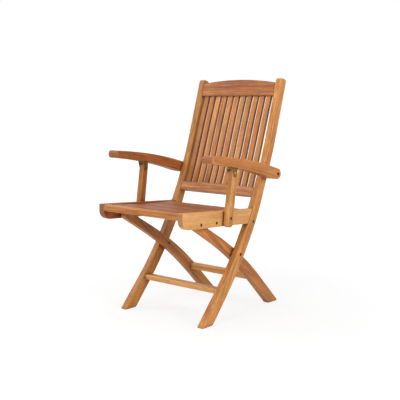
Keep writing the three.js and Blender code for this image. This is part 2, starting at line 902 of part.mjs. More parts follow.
function buildStiles() {
  for (const [word, side] of sides) {
    let stile = sideBoard(stileOutline(), side, stileInner, stileOuter);
    stile = stile.subtract(backRailTenons(topRailLift, topRailHeight, topRailThickness, jointGap));
    stile = stile.subtract(backRailTenons(lowerRailLift, lowerRailHeight, lowerRailThickness, jointGap));
    stile = stile.subtract(stretcherTenons(frontStretcher, stileInner, jointGap));
    stile = drilled(stile, crossPivot, side, stileInner, stileOuter, true, false);
    stile = drilled(stile, linkPivot, side, stileInner, stileOuter, true, false);
    stile = stile.subtract(crossPin(armPivot, shankRadius + runGap, side, armBoltEnd, stileOuter + overCut));
    stile = stile.subtract(glide(glidePlaces().front, side, runGap));
    addPiece(`stile_${word}`, stile, word === "left" ? orangeTeak : redTeak);
  }
}

function buildBack() {
  let top = backRail(topRailLift, topRailHeight, topRailRise, topRailThickness, 0);
  let low = backRail(lowerRailLift, lowerRailHeight, 0, lowerRailThickness, 0);
  for (let i = 0; i < backSlatCount; i += 1) {
    const cutter = backSlat(i, jointGap);
    top = top.subtract(cutter);
    low = low.subtract(cutter);
    const name = `back_slat_${String(i + 1).padStart(2, "0")}`;
    addPiece(name, backSlat(i, 0), i % 3 === 1 ? roseTeak : tanTeak);
  }
  addPiece("top_rail", top, redTeak);
  addPiece("lower_back_rail", low, roseTeak);
}

function buildStretchers() {
  addPiece("front_stretcher", stretcherBar(frontStretcher, stileInner), roseTeak);
  addPiece("rear_stretcher", stretcherBar(rearStretcher, legInner), roseTeak);
}

function buildLegs() {
  for (const [word, side] of sides) {
    let leg = sideBoard(legOutline(), side, legInner, legOuter);
    leg = leg.subtract(stretcherTenons(rearStretcher, legInner, jointGap));
    leg = drilled(leg, crossPivot, side, legInner, legOuter, false, true);
    leg = drilled(leg, legPivot, side, legInner, legOuter, false, true);
    leg = leg.subtract(glide(glidePlaces().rear, side, runGap));
    addPiece(`rear_leg_${word}`, leg, word === "left" ? orangeTeak : brownTeak);
  }
}

function buildSeat() {
  for (const [word, side] of sides) {
    let rail = sideBoard(seatRailOutline(), side, railInner, railOuter);
    rail = rail.subtract(frontSlat(jointGap));
    for (let i = 0; i < seatSlatCount; i += 1) rail = rail.subtract(seatSlat(i, jointGap));
    rail = drilled(rail, legPivot, side, railInner, railOuter, true, false);
    rail = drilled(rail, seatLinkPivot, side, railInner, railOuter, true, false);
    rail = drilled(rail, postPivot, side, railInner, railOuter, false, false);
    addPiece(`seat_rail_${word}`, rail, tanTeak);
  }
  addPiece("seat_front_slat", frontSlat(0), orangeTeak);
  for (let i = 0; i < seatSlatCount; i += 1) {
    addPiece(`seat_slat_${i + 1}`, seatSlat(i, 0), i % 2 ? redTeak : brownTeak);
  }
}

function buildLinks() {
  for (const [word, side] of sides) {
    let bar = sideBoard(linkOutline(), side, linkInner, linkOuter, 0);
    bar = drilled(bar, seatLinkPivot, side, linkInner, linkOuter, false, false);
    bar = drilled(bar, linkPivot, side, linkInner, linkOuter, false, false);
    addPiece(`seat_link_${word}`, bar, agedBrass, metalRoughness, 1);
  }
}

function buildArms() {
  for (const [word, side] of sides) {
    let arm = sideBoard(armOutline(), side, armInner, armOuter, armEdge);
    arm = arm.intersect(armPlan(side)).subtract(bracketPocket(side));
    const boreEnd = armOuter - armBoreDepth;
    arm = arm.subtract(crossPin(armPivot, shankRadius + runGap, side, armInner - overCut, armOuter));
    arm = arm.subtract(crossPin(armPivot, armBoreRadius, side, boreEnd, armOuter + overCut));
    addPiece(`arm_${word}`, arm, word === "left" ? orangeTeak : brownTeak);
  }
}

function buildPosts() {
  for (const [word, side] of sides) {
    let post = sideBoard(postOutline(), side, postInner, postOuter);
    post = drilled(post, postPivot, side, postInner, postOuter, true, false);
    post = drilled(post, bracketPivot, side, postInner, postOuter, false, false);
    addPiece(`arm_post_${word}`, post, tanTeak);
  }
}

function buildBrackets() {
  const rim = earOuter + runGap;
  for (const [word, side] of sides) {
    const hole = crossPin(bracketPivot, shankRadius + runGap, side, earInner - overCut, earOuter + overCut);
    addPiece(`arm_bracket_${word}`, bracket(side).subtract(hole), agedBrass, metalRoughness, 1);
    const rivet = turned(bracketPivot, side, [
      [0, earInner + runGap],
      [shankRadius, earInner + runGap],
      [shankRadius, rim],
      [rivetHeadRadius, rim],
      [rivetHeadRadius, rim + rivetHeadHeight / 2],
      [rivetHeadRadius / 2, rim + rivetHeadHeight],
      [0, rim + rivetHeadHeight],
    ]);
    addPiece(`bracket_rivet_${word}`, rivet, agedBrass, metalRoughness, 1);
  }
}

function buildBolts() {
  for (const [word, side] of sides) {
    const cross = throughBolt(crossPivot, side, legInner, stileOuter, [legOuter, stileInner]);
    const leg = throughBolt(legPivot, side, legInner, railOuter, [legOuter, railInner]);
    const stileLink = shortBolt(linkPivot, side, stileInner, stileOuter - boreDepth);
    const arm = shortBolt(armPivot, side, armBoltEnd, armOuter - armBoreDepth);
    const seatLink = turned(seatLinkPivot, side, [
      [0, linkInner],
      [shankRadius, linkInner],
      [shankRadius, linkOuter + runGap],
      [linkCollarRadius, linkOuter + runGap],
      [linkCollarRadius, railInner - runGap],
      [shankRadius, railInner - runGap],
      [shankRadius, railOuter - boreDepth],
      ...headProfile(railOuter - boreDepth),
    ]);
    const post = shortBolt(postPivot, side, postInner, postOuter - boreDepth);
    addPiece(`cross_bolt_${word}`, cross, darkBrass, metalRoughness, 1);
    addPiece(`leg_bolt_${word}`, leg, darkBrass, metalRoughness, 1);
    addPiece(`stile_link_bolt_${word}`, stileLink, darkBrass, metalRoughness, 1);
    addPiece(`arm_bolt_${word}`, arm, darkBrass, metalRoughness, 1);
    addPiece(`seat_link_bolt_${word}`, seatLink, darkBrass, metalRoughness, 1);
    addPiece(`post_bolt_${word}`, post, darkBrass, metalRoughness, 1);
  }
}

function buildGlides() {
  const places = glidePlaces();
  for (const [word, side] of sides) {
    addPiece(`front_glide_${word}`, glide(places.front, side, 0), blackPlastic, plasticRoughness);
    addPiece(`rear_glide_${word}`, glide(places.rear, side, 0), blackPlastic, plasticRoughness);
  }
}

buildStiles();
buildBack();
buildStretchers();
buildLegs();
buildSeat();
buildLinks();
buildArms();
buildPosts();
buildBrackets();
buildBolts();
buildGlides();

// The finished chair stands with the middle of its box over the origin.
const bounds = new THREE.Box3().setFromObject(chair);
const middleY = (bounds.min.y + bounds.max.y) / 2;
for (const piece of chair.children) piece.geometry.translate(0, -middleY, 0);

export default chair;
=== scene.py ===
"""Looks of a folding teak armchair: oiled boards, slats, brass fittings and a plain pale studio.

Sizes and places are in millimetres in the chair's side view, as the maker sets them out: y to the
rear from the toe of the front legs and z up from the floor. Distances across the chair are from its
middle. Meshes are made in metres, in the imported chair's own frame.
"""

import logging
import math
import random
import zlib
from dataclasses import dataclass
from enum import Enum
from typing import Iterable, Optional, Sequence, Union

import bmesh
import bpy
from mathutils import Matrix, Vector

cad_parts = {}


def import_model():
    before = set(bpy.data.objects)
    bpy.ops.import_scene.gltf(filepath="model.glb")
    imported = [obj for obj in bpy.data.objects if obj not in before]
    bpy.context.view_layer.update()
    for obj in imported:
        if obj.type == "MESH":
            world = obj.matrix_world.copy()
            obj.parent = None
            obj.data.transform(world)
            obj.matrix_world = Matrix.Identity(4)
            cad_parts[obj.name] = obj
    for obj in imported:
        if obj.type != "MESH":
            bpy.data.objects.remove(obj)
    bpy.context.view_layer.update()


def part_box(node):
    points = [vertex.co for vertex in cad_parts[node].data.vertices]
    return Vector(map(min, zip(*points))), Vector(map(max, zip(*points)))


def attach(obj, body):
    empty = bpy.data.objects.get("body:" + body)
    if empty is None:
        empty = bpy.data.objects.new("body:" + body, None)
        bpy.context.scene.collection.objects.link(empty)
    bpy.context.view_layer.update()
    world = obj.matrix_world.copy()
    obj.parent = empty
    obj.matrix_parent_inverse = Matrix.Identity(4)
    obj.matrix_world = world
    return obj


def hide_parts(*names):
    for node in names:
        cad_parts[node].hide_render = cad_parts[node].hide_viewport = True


LOG = logging.getLogger("armchair")
MM = 0.001
SIDES = (("left", 1), ("right", -1))
# How far a boring tool stands past the face that it opens, and past the face of a wide mouth.
PAST = 1.0
MOUTH = 5.0
# Arris at the ends of a bar whose outline is already rounded.
END_ARRIS = 0.2
# Largest turn between neighbouring points of a rounded corner, in degrees.
ARC_STEP = 18.0
# Corners flatter than this half angle, in degrees, aren't rounded.
FLAT_CORNER = 89.5
# Corners of an outline that turn in a smaller radius than this are painted pale, for wear and as a
# painted highlight.
WORN_AND_LIT_RADIUS = 18.0
# Faces that meet at a larger angle, in degrees, show a crease.
CREASE = 40.0
# Shares of the second colour where rings, streaks, flames, pores, painted shade, and wear with its
# painted highlight are strongest.
RING_SHARE = 0.55
STREAK_SHARE = 0.85
FLAME_SHARE = 0.7
PORE_SHARE = 0.2
PAINTED_SHADE_SHARE = 0.75
WEAR_AND_HIGHLIGHT_SHARE = 0.6

Point = tuple[float, float]
Corner = tuple[Point, float]
Profile = list[tuple[float, float]]
Tree = bpy.types.NodeTree
Plug = bpy.types.NodeSocket
Value = Union[float, Sequence[float], Plug]


# Geometry in the side view


@dataclass(frozen=True)
class Heading:
    """A point of a path with the direction in which the path runs there."""

    y: float
    z: float
    angle: float

    def beside(self, distance: float) -> Point:
        """The point moved sideways, to the right of the heading."""
        return (self.y + distance * math.sin(self.angle), self.z - distance * math.cos(self.angle))

    def frame(self, along: float, across: float) -> Point:
        """A point given along the heading and to its left."""
        c, s = math.cos(self.angle), math.sin(self.angle)
        return (self.y + along * c - across * s, self.z + along * s + across * c)


@dataclass(frozen=True)
class Sweep:
    """A path of a straight run, one arc and a straight run, with angles in degrees."""

    start: Point
    first_angle: float
    last_angle: float
    straight: float
    radius: float

    def at(self, distance: float) -> Heading:
        """The point and heading at a distance along the path.

        Args:
            distance: Distance from the path's start.

        Returns:
            The heading, with its angle in radians.
        """
        first, last = math.radians(self.first_angle), math.radians(self.last_angle)
        turn = math.copysign(1.0, last - first)
        arc = self.radius * abs(last - first)
        run = min(distance, self.straight)
        curved = min(max(distance - self.straight, 0.0), arc)
        rest = max(distance - self.straight - arc, 0.0)
        angle = first + turn * curved / self.radius
        arc_y = turn * self.radius * (math.sin(angle) - math.sin(first))
        arc_z = turn * self.radius * (math.cos(first) - math.cos(angle))
        y = self.start[0] + run * math.cos(first) + arc_y + rest * math.cos(last)
        z = self.start[1] + run * math.sin(first) + arc_z + rest * math.sin(last)
        return Heading(y, z, angle)

    def at_height(self, height: float, limit: float) -> float:
        """The distance along a rising path at which it reaches a height.

        Args:
            height: The height.
            limit: The longest distance that is tried.

        Returns:
            The distance.
        """
        low, high = 0.0, limit
        for _ in range(40):
            middle = (low + high) / 2
            if self.at(middle).z < height:
                low = middle
            else:
                high = middle
        return low


def eased(start: float, end: float, low: float, high: float, at: float) -> float:
    """A width that changes smoothly from start to end between two distances."""
    t = min(max((at - low) / (high - low), 0.0), 1.0)
    return start + (end - start) * t * t * (3 - 2 * t)


def heading(a: Point, b: Point) -> float:
    """The direction from one point to another, in radians."""
    return math.atan2(b[1] - a[1], b[0] - a[0])


def faces(side: int, inner: float, outer: float) -> tuple[float, float]:
    """The places across the chair of a board's two faces, lower one first."""
    return (inner, outer) if side > 0 else (-outer, -inner)


def circle_points(
    centre: Point, radius: float, first: float, last: float, steps: int
) -> list[Point]:
    """Points on an arc between two angles in radians, both ends included."""
    turns = [first + (last - first) * i / steps for i in range(steps + 1)]
    return [(centre[0] + radius * math.cos(a), centre[1] + radius * math.sin(a)) for a in turns]


def curve_at(a: Point, b: Point, c: Point, t: float) -> Point:
    """The point at a share of a quadratic curve from a to c drawn towards b."""
    w = ((1 - t) ** 2, 2 * t * (1 - t), t * t)
    return (w[0] * a[0] + w[1] * b[0] + w[2] * c[0], w[0] * a[1] + w[1] * b[1] + w[2] * c[1])


def curve_points(a: Point, b: Point, c: Point, steps: int) -> list[Point]:
    """Points on such a curve, both ends included."""
    return [curve_at(a, b, c, i / steps) for i in range(steps + 1)]


def sharp(points: Iterable[Point]) -> list[Corner]:
    """Points taken as corners that aren't rounded."""
    return [(point, 0.0) for point in points]


def rounded(corners: Iterable[Corner]) -> list[Point]:
    """A closed outline with each corner rounded by an arc.

    Args:
        corners: Corner points, each with its rounding radius, which may be zero.

    Returns:
        The outline's points, anticlockwise.
    """
    given = [(Vector(point), radius) for point, radius in corners]
    points: list[Point] = []
    for i, (here, radius) in enumerate(given):
        back = (given[i - 1][0] - here).normalized()
        forth = (given[(i + 1) % len(given)][0] - here).normalized()
        half = math.acos(max(-1.0, min(1.0, back.dot(forth)))) / 2
        if radius <= 0 or half > math.radians(FLAT_CORNER):
            points.append((here.x, here.y))
            continue
        centre = here + (back + forth).normalized() * (radius / math.sin(half))
        start = here + back * (radius / math.tan(half)) - centre
        end = here + forth * (radius / math.tan(half)) - centre
        sweep = math.copysign(math.pi - 2 * half, start.x * end.y - start.y * end.x)
        first = math.atan2(start.y, start.x)
        steps = max(3, math.ceil(abs(sweep) / math.radians(ARC_STEP)))
        points += circle_points((centre.x, centre.y), radius, first, first + sweep, steps)
    area = sum(
        points[i - 1][0] * points[i][1] - points[i][0] * points[i - 1][1]
        for i in range(len(points))
    )
    return points if area > 0 else points[::-1]


def inset(points: Sequence[Point], distance: float) -> list[Point]:
    """An outline drawn inwards, corner by corner.

    Args:
        points: The outline, anticlockwise.
        distance: How far it is drawn in.

    Returns:
        The smaller outline, with as many points.
    """
    result = []
    count = len(points)
    for i in range(count):
        before = Vector(points[i - 1])
        here = Vector(points[i])
        after = Vector(points[(i + 1) % count])
        a, b = (here - before).normalized(), (after - here).normalized()
        normal_a, normal_b = Vector((-a.y, a.x)), Vector((-b.y, b.x))
        mean = (normal_a + normal_b).normalized()
        # The lower bound keeps the point of a very sharp corner from running far in.
        moved = here + mean * (distance / max(mean.dot(normal_a), 0.3))
        result.append((moved.x, moved.y))
    return result


def tilted_box(
    middle: Point, width: float, height: float, tilt: float, radius: float
) -> list[Point]:
    """A rounded rectangle turned about its middle.

    Args:
        middle: Its middle.
        width: Its width, from front to rear before it is turned.
        height: Its height.
        tilt: Its turn in radians.
        radius: Rounding of its corners.

    Returns:
        The outline's points.
    """
    place = Heading(*middle, tilt)
    signs = ((-1, -1), (1, -1), (1, 1), (-1, 1))
    return rounded((place.frame(a * width / 2, b * height / 2), radius) for a, b in signs)


# Meshes


@dataclass(frozen=True)
class NoseCorners:
    """Rounding, in plan, of the two corners at the front end of a board.

    Attributes:
        front: Where the board's front end is.
        low_radius: Rounding at the low face.
        high_radius: Rounding at the high face.
        flat: Length behind the front end that is drawn back in full.
        run: Length over which the drawing back eases off behind that.
        depths: Distances from either face of the added rows of points that follow the rounding.
    """

    front: float
    low_radius: float
    high_radius: float
    flat: float = 8.0
    run: float = 34.0
    depths: tuple[float, ...] = (5.0, 6.2, 8.0, 10.0, 12.5)

    def setback(self, y: float, from_low: float, from_high: float) -> float:
        """How far a point is drawn to the rear.

        Args:
            y: The point's place from front to rear.
            from_low: Its distance from the low face.
            from_high: Its distance from the high face.

        Returns:
            The distance.
        """
        share = 1.0 - min(max((y - self.front - self.flat) / self.run, 0.0), 1.0)
        drawn = 0.0
        for radius, depth in ((self.low_radius, from_low), (self.high_radius, from_high)):
            inside = max(radius - depth, 0.0)
            drawn += radius - math.sqrt(max(radius * radius - inside * inside, 0.0))
        return drawn * share * share * (3 - 2 * share)


@dataclass
class Blank:
    """A board before it is dressed: an outline with a thickness and eased arrises.

    Attributes:
        outline: Anticlockwise outline in millimetres.
        low: Where the thickness starts.
        high: Where the thickness ends.
        edge: Radius of the eased arrises.
        grain: Direction of the grain as an angle in the side view, or None for across the chair.
        foot: For a standing board, the place and slope on which it stands.
        steps: Facets round each arris.
        nose: Rounding of the front end in plan, if it has any.
    """

    outline: list[Point]
    low: float
    high: float
    edge: float
    grain: Optional[float] = None
    foot: Optional[Heading] = None
    steps: int = 3
    nose: Optional[NoseCorners] = None

    def turn(self) -> Matrix:
        """The turn from the chair's frame to the board's own.

        Returns:
            The turn, with x along the grain.
        """
        if self.grain is not None:
            c, s = math.cos(self.grain), math.sin(self.grain)
            return Matrix(((0, c, s), (0, -s, c), (1, 0, 0)))
        if self.foot is not None:
            c, s = math.cos(self.foot.angle), math.sin(self.foot.angle)
            return Matrix(((1, 0, 0), (0, c, s), (0, -s, c)))
        return Matrix.Identity(3)

    def to_chair(self, a: float, b: float, c: float) -> Vector:
        """A point of the board in the chair's own millimetres.

        Args:
            a: First coordinate in the outline's plane.
            b: Second coordinate in it.
            c: Level across the thickness.

        Returns:
            The point.
        """
        if self.nose is not None:
            a += self.nose.setback(a, c - self.low, self.high - c)
        if self.foot is None:
            return Vector((c, a, b))
        y, z = self.foot.frame(b, 0.0)
        s, k = math.sin(self.foot.angle), math.cos(self.foot.angle)
        return Vector((a, y + c * s, z - c * k))

    def rubbed_and_lit(self) -> list[float]:
        """How pale each point of the outline is painted, for wear and as a painted highlight.

        Returns:
            A value for each point, high where the outline turns a tight corner.
        """
        values = []
        count = len(self.outline)
        for i in range(count):
            before, here = Vector(self.outline[i - 1]), Vector(self.outline[i])
            after = Vector(self.outline[(i + 1) % count])
            turn = (here - before).angle(after - here, 0.0)
            radius = (after - before).length / 2 / max(turn, 0.001)
            values.append(max(0.0, 1.0 - radius / WORN_AND_LIT_RADIUS))
        return values

    def rings(self) -> list[tuple[list[Point], float, float]]:
        """The loops of points from the low face to the high one.

        Returns:
            For each loop its points, its level across the thickness and how pale its arris is
            painted.
        """
        loops = []
        for i in range(self.steps + 1):
            turn = math.pi / 2 * i / self.steps
            ring = inset(self.outline, self.edge * (1 - math.sin(turn)))
            value = math.sin(2 * turn)
            loops.append((ring, self.edge * (1 - math.cos(turn)), value))
        if self.nose is not None:
            loops += [(self.outline, depth, 0.0) for depth in self.nose.depths]
        low = [(ring, self.low + depth, value) for ring, depth, value in loops]
        high = [(ring, self.high - depth, value) for ring, depth, value in reversed(loops)]
        return low + high

    def fill(self, mesh: bmesh.types.BMesh, layer: bmesh.types.BMLayerItem) -> None:
        """Adds the board's faces to a mesh.

        Args:
            mesh: The mesh that takes them.
            layer: The layer that keeps how pale each point is painted, for wear and as a painted
                highlight.
        """
        rows = []
        turns = self.rubbed_and_lit()
        for ring, level, value in self.rings():
            row = []
            for (a, b), turn in zip(ring, turns):
                vertex = mesh.verts.new(self.to_chair(a, b, level))
                vertex[layer] = max(value, turn)
                row.append(vertex)
            rows.append(row)
        count = len(rows[0])
        for lower, upper in zip(rows, rows[1:]):
            for i in range(count):
                j = (i + 1) % count
                mesh.faces.new((lower[i], lower[j], upper[j], upper[i]))
        mesh.faces.new(rows[0][::-1])
        mesh.faces.new(rows[-1])


@dataclass
class Turning:
    """A turned metal or plastic piece on an axis across the chair, or upright.

    Attributes:
        centre: The axis in the side view, or the middle on the floor for an upright piece.
        profile: Radius and distance along the axis, from one end to the other.
        side: 1 or -1, the side of the chair.
        hexagon: Indices of profile points that form a six-sided socket.
        upright: Whether the axis stands up from the floor.
        across: For an upright piece, its distance from the chair's middle.
        sides: Facets round the axis.
    """

    centre: Point
    profile: Profile
    side: int
    hexagon: tuple[int, ...] = ()
    upright: bool = False
    across: float = 0.0
    sides: int = 36

    def fill(self, mesh: bmesh.types.BMesh, layer: bmesh.types.BMLayerItem) -> None:
        """Adds the turned faces to a mesh.

        Args:
            mesh: The mesh that takes them.
            layer: The layer that keeps how pale each point is painted, which stays at zero.
        """
        rows = []
        for index, (radius, reach) in enumerate(self.profile):
            if radius == 0:
                rows.append([mesh.verts.new(self.place(0.0, 0.0, reach))])
                continue
            row = []
            for i in range(self.sides):
                a = 2 * math.pi * i / self.sides
                r = radius
                if index in self.hexagon:
                    # The flats lie at the radius and the corners further out.
                    r = radius / math.cos((a % (math.pi / 3)) - math.pi / 6)
                row.append(mesh.verts.new(self.place(r * math.cos(a), r * math.sin(a), reach)))
            rows.append(row)
        for lower, upper in zip(rows, rows[1:]):
            for i in range(self.sides):
                j = (i + 1) % self.sides
                loop = [lower[i % len(lower)], lower[j % len(lower)]]
                loop += [upper[j % len(upper)], upper[i % len(upper)]]
                unique = list(dict.fromkeys(loop))
                if len(unique) > 2:
                    mesh.faces.new(unique)

    def place(self, a: float, b: float, reach: float) -> Vector:
        """A point of the turned piece in the chair's own millimetres.

        Args:
            a: First coordinate across the axis.
            b: Second coordinate across it.
            reach: Distance along the axis.

        Returns:
            The point.
        """
        if self.upright:
            return Vector((self.side * self.across + a, self.centre[0] + b, reach))
        return Vector((self.side * reach, self.centre[0] + a, self.centre[1] + b))


def cutter(at: Point, radius: float, side: int, inner: float, outer: float) -> Turning:
    """A round hole across the chair between two distances from its middle."""
    return Turning(at, [(0, inner), (radius, inner), (radius, outer), (0, outer)], side)


def stepped(
    at: Point, side: int, wide: float, narrow: float, mouth: float, floor: float, end: float
) -> Turning:
    """A hole across the chair with a wide mouth for a head and a narrow bore for a shank.

    Args:
        at: The axis in the side view.
        side: 1 or -1, the side of the chair.
        wide: Radius of the mouth.
        narrow: Radius of the bore.
        mouth: Where the wide part starts.
        floor: Where the wide part stops and the bore starts.
        end: Where the bore stops.

    Returns:
        The hole's solid.
    """
    profile = [(0, mouth), (wide, mouth), (wide, floor), (narrow, floor), (narrow, end), (0, end)]
    return Turning(at, profile, side)


class Workshop:
    """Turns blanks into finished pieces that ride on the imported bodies.

    Attributes:
        shift: Distance from the toe of the front legs back to the middle of the chair's box.
        count: Number of pieces made.
    """

    def __init__(self, shift: float) -> None:
        """Opens the workshop, with no piece made yet."""
        self.shift = shift
        self.count = 0

    def mesh_of(
        self, parts: Sequence[Union[Blank, Turning]], name: str, place: Vector
    ) -> bpy.types.Mesh:
        """A mesh of some parts.

        Args:
            parts: The parts, in the chair's own millimetres.
            name: The mesh's name.
            place: The point, in metres, that becomes the mesh's origin.

        Returns:
            The mesh, in metres.
        """
        work = bmesh.new()
        layer = work.verts.layers.float.new("arris")
        for part in parts:
            part.fill(work, layer)
        offset = Vector((0.0, -self.shift * MM, 0.0)) - place
        work.transform(Matrix.Translation(offset) @ Matrix.Scale(MM, 4))
        bmesh.ops.recalc_face_normals(work, faces=work.faces)
        mesh = bpy.data.meshes.new(name)
        work.to_mesh(mesh)
        work.free()
        return mesh

    def make(
        self,
        node: str,
        kind: str,
        parts: Sequence[Union[Blank, Turning]],
        body: str,
        slot: str,
        finish: Enum,
        cuts: Sequence[Turning] = (),
    ) -> None:
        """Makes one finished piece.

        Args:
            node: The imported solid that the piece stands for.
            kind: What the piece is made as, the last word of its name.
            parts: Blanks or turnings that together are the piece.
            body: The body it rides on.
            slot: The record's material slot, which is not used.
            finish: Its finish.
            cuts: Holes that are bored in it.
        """
        name, first = f"{node}_{kind}", parts[0]
        place = self.middle(first)
        mesh = self.mesh_of(parts, name, place)
        piece = bpy.data.objects.new(name, mesh)
        bpy.context.scene.collection.objects.link(piece)
        piece.location = place
        turn = first.turn() if isinstance(first, Blank) else Matrix.Identity(3)
        material = finish.value.material(node, zlib.crc32(node.encode()), turn)
        for hole in cuts:
            self.bore(piece, hole)
        piece.data.materials.clear()
        piece.data.materials.append(material)
        piece.data.shade_smooth()
        piece.data.set_sharp_from_angle(angle=math.radians(CREASE))
        weighted = piece.modifiers.new("even_light", "WEIGHTED_NORMAL")
        weighted.keep_sharp = True
        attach(piece, body)
        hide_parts(node)
        self.count += 1
        LOG.info("%s rides on %s", name, body)

    def middle(self, part: Union[Blank, Turning]) -> Vector:
        """The middle of a piece.

        Args:
            part: The piece's first part.

        Returns:
            The middle in metres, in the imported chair's frame.
        """
        if isinstance(part, Turning):
            y, z = part.centre
            height = 0.0 if part.upright else z
            return Vector((part.side * part.across, y - self.shift, height)) * MM
        points = [part.to_chair(a, b, (part.low + part.high) / 2) for a, b in part.outline]
        middle = sum(points, Vector()) / len(points)
        middle.y -= self.shift
        return middle * MM

    def bore(self, piece: bpy.types.Object, hole: Turning) -> None:
        """Bores one round hole into a piece.

        Args:
            piece: The piece, whose mesh is replaced by the bored one.
            hole: The hole's solid.
        """
        mesh = self.mesh_of([hole], "hole", Vector())
        tool = bpy.data.objects.new("hole", mesh)
        bpy.context.scene.collection.objects.link(tool)
        cut = piece.modifiers.new("bore", "BOOLEAN")
        cut.operation = "DIFFERENCE"
        cut.solver = "EXACT"
        cut.object = tool
        bpy.context.view_layer.update()
        graph = bpy.context.evaluated_depsgraph_get()
        result = bpy.data.meshes.new_from_object(piece.evaluated_get(graph))
        piece.modifiers.clear()
        old = piece.data
        piece.data = result
        bpy.data.meshes.remove(old)
        bpy.data.objects.remove(tool)
        bpy.data.meshes.remove(mesh)


# Finishes


def linear(colour: str) -> tuple[float, float, float, float]:
    """An sRGB colour as the linear values that the shader takes.

    Args:
        colour: The colour as a hex code.

    Returns:
        Red, green, blue and an alpha of 1.
    """
    parts = [int(colour[i : i + 2], 16) / 255 for i in (1, 3, 5)]
    values = [c / 12.92 if c <= 0.04045 else ((c + 0.055) / 1.055) ** 2.4 for c in parts]
    return (values[0], values[1], values[2], 1.0)


def add(
    tree: Tree,
    kind: str,
    inputs: Optional[dict[Union[str, int], Value]] = None,
    **settings: object,
) -> bpy.types.Node:
    """Adds one node with its settings, values and links.

    Args:
        tree: The tree that takes the node.
        kind: The node's type, without the ShaderNode that each starts with.
        inputs: Values or sockets for its inputs, by name or number.
        settings: The node's own properties.

    Returns:
        The new node.
    """
    node = tree.nodes.new(f"ShaderNode{kind}")
    for key, value in settings.items():
        setattr(node, key, value)
    for key, value in (inputs or {}).items():
        if isinstance(value, Plug):
            tree.links.new(value, node.inputs[key])
        else:
            node.inputs[key].default_value = value
    return node


def fresh(name: str) -> tuple[bpy.types.Material, Tree]:
    """An empty material.

    Args:
        name: The material's name.

    Returns:
        The material and its node tree.
    """
    material = bpy.data.materials.new(name)
    material.use_nodes = True
    material.node_tree.nodes.clear()
    return material, material.node_tree


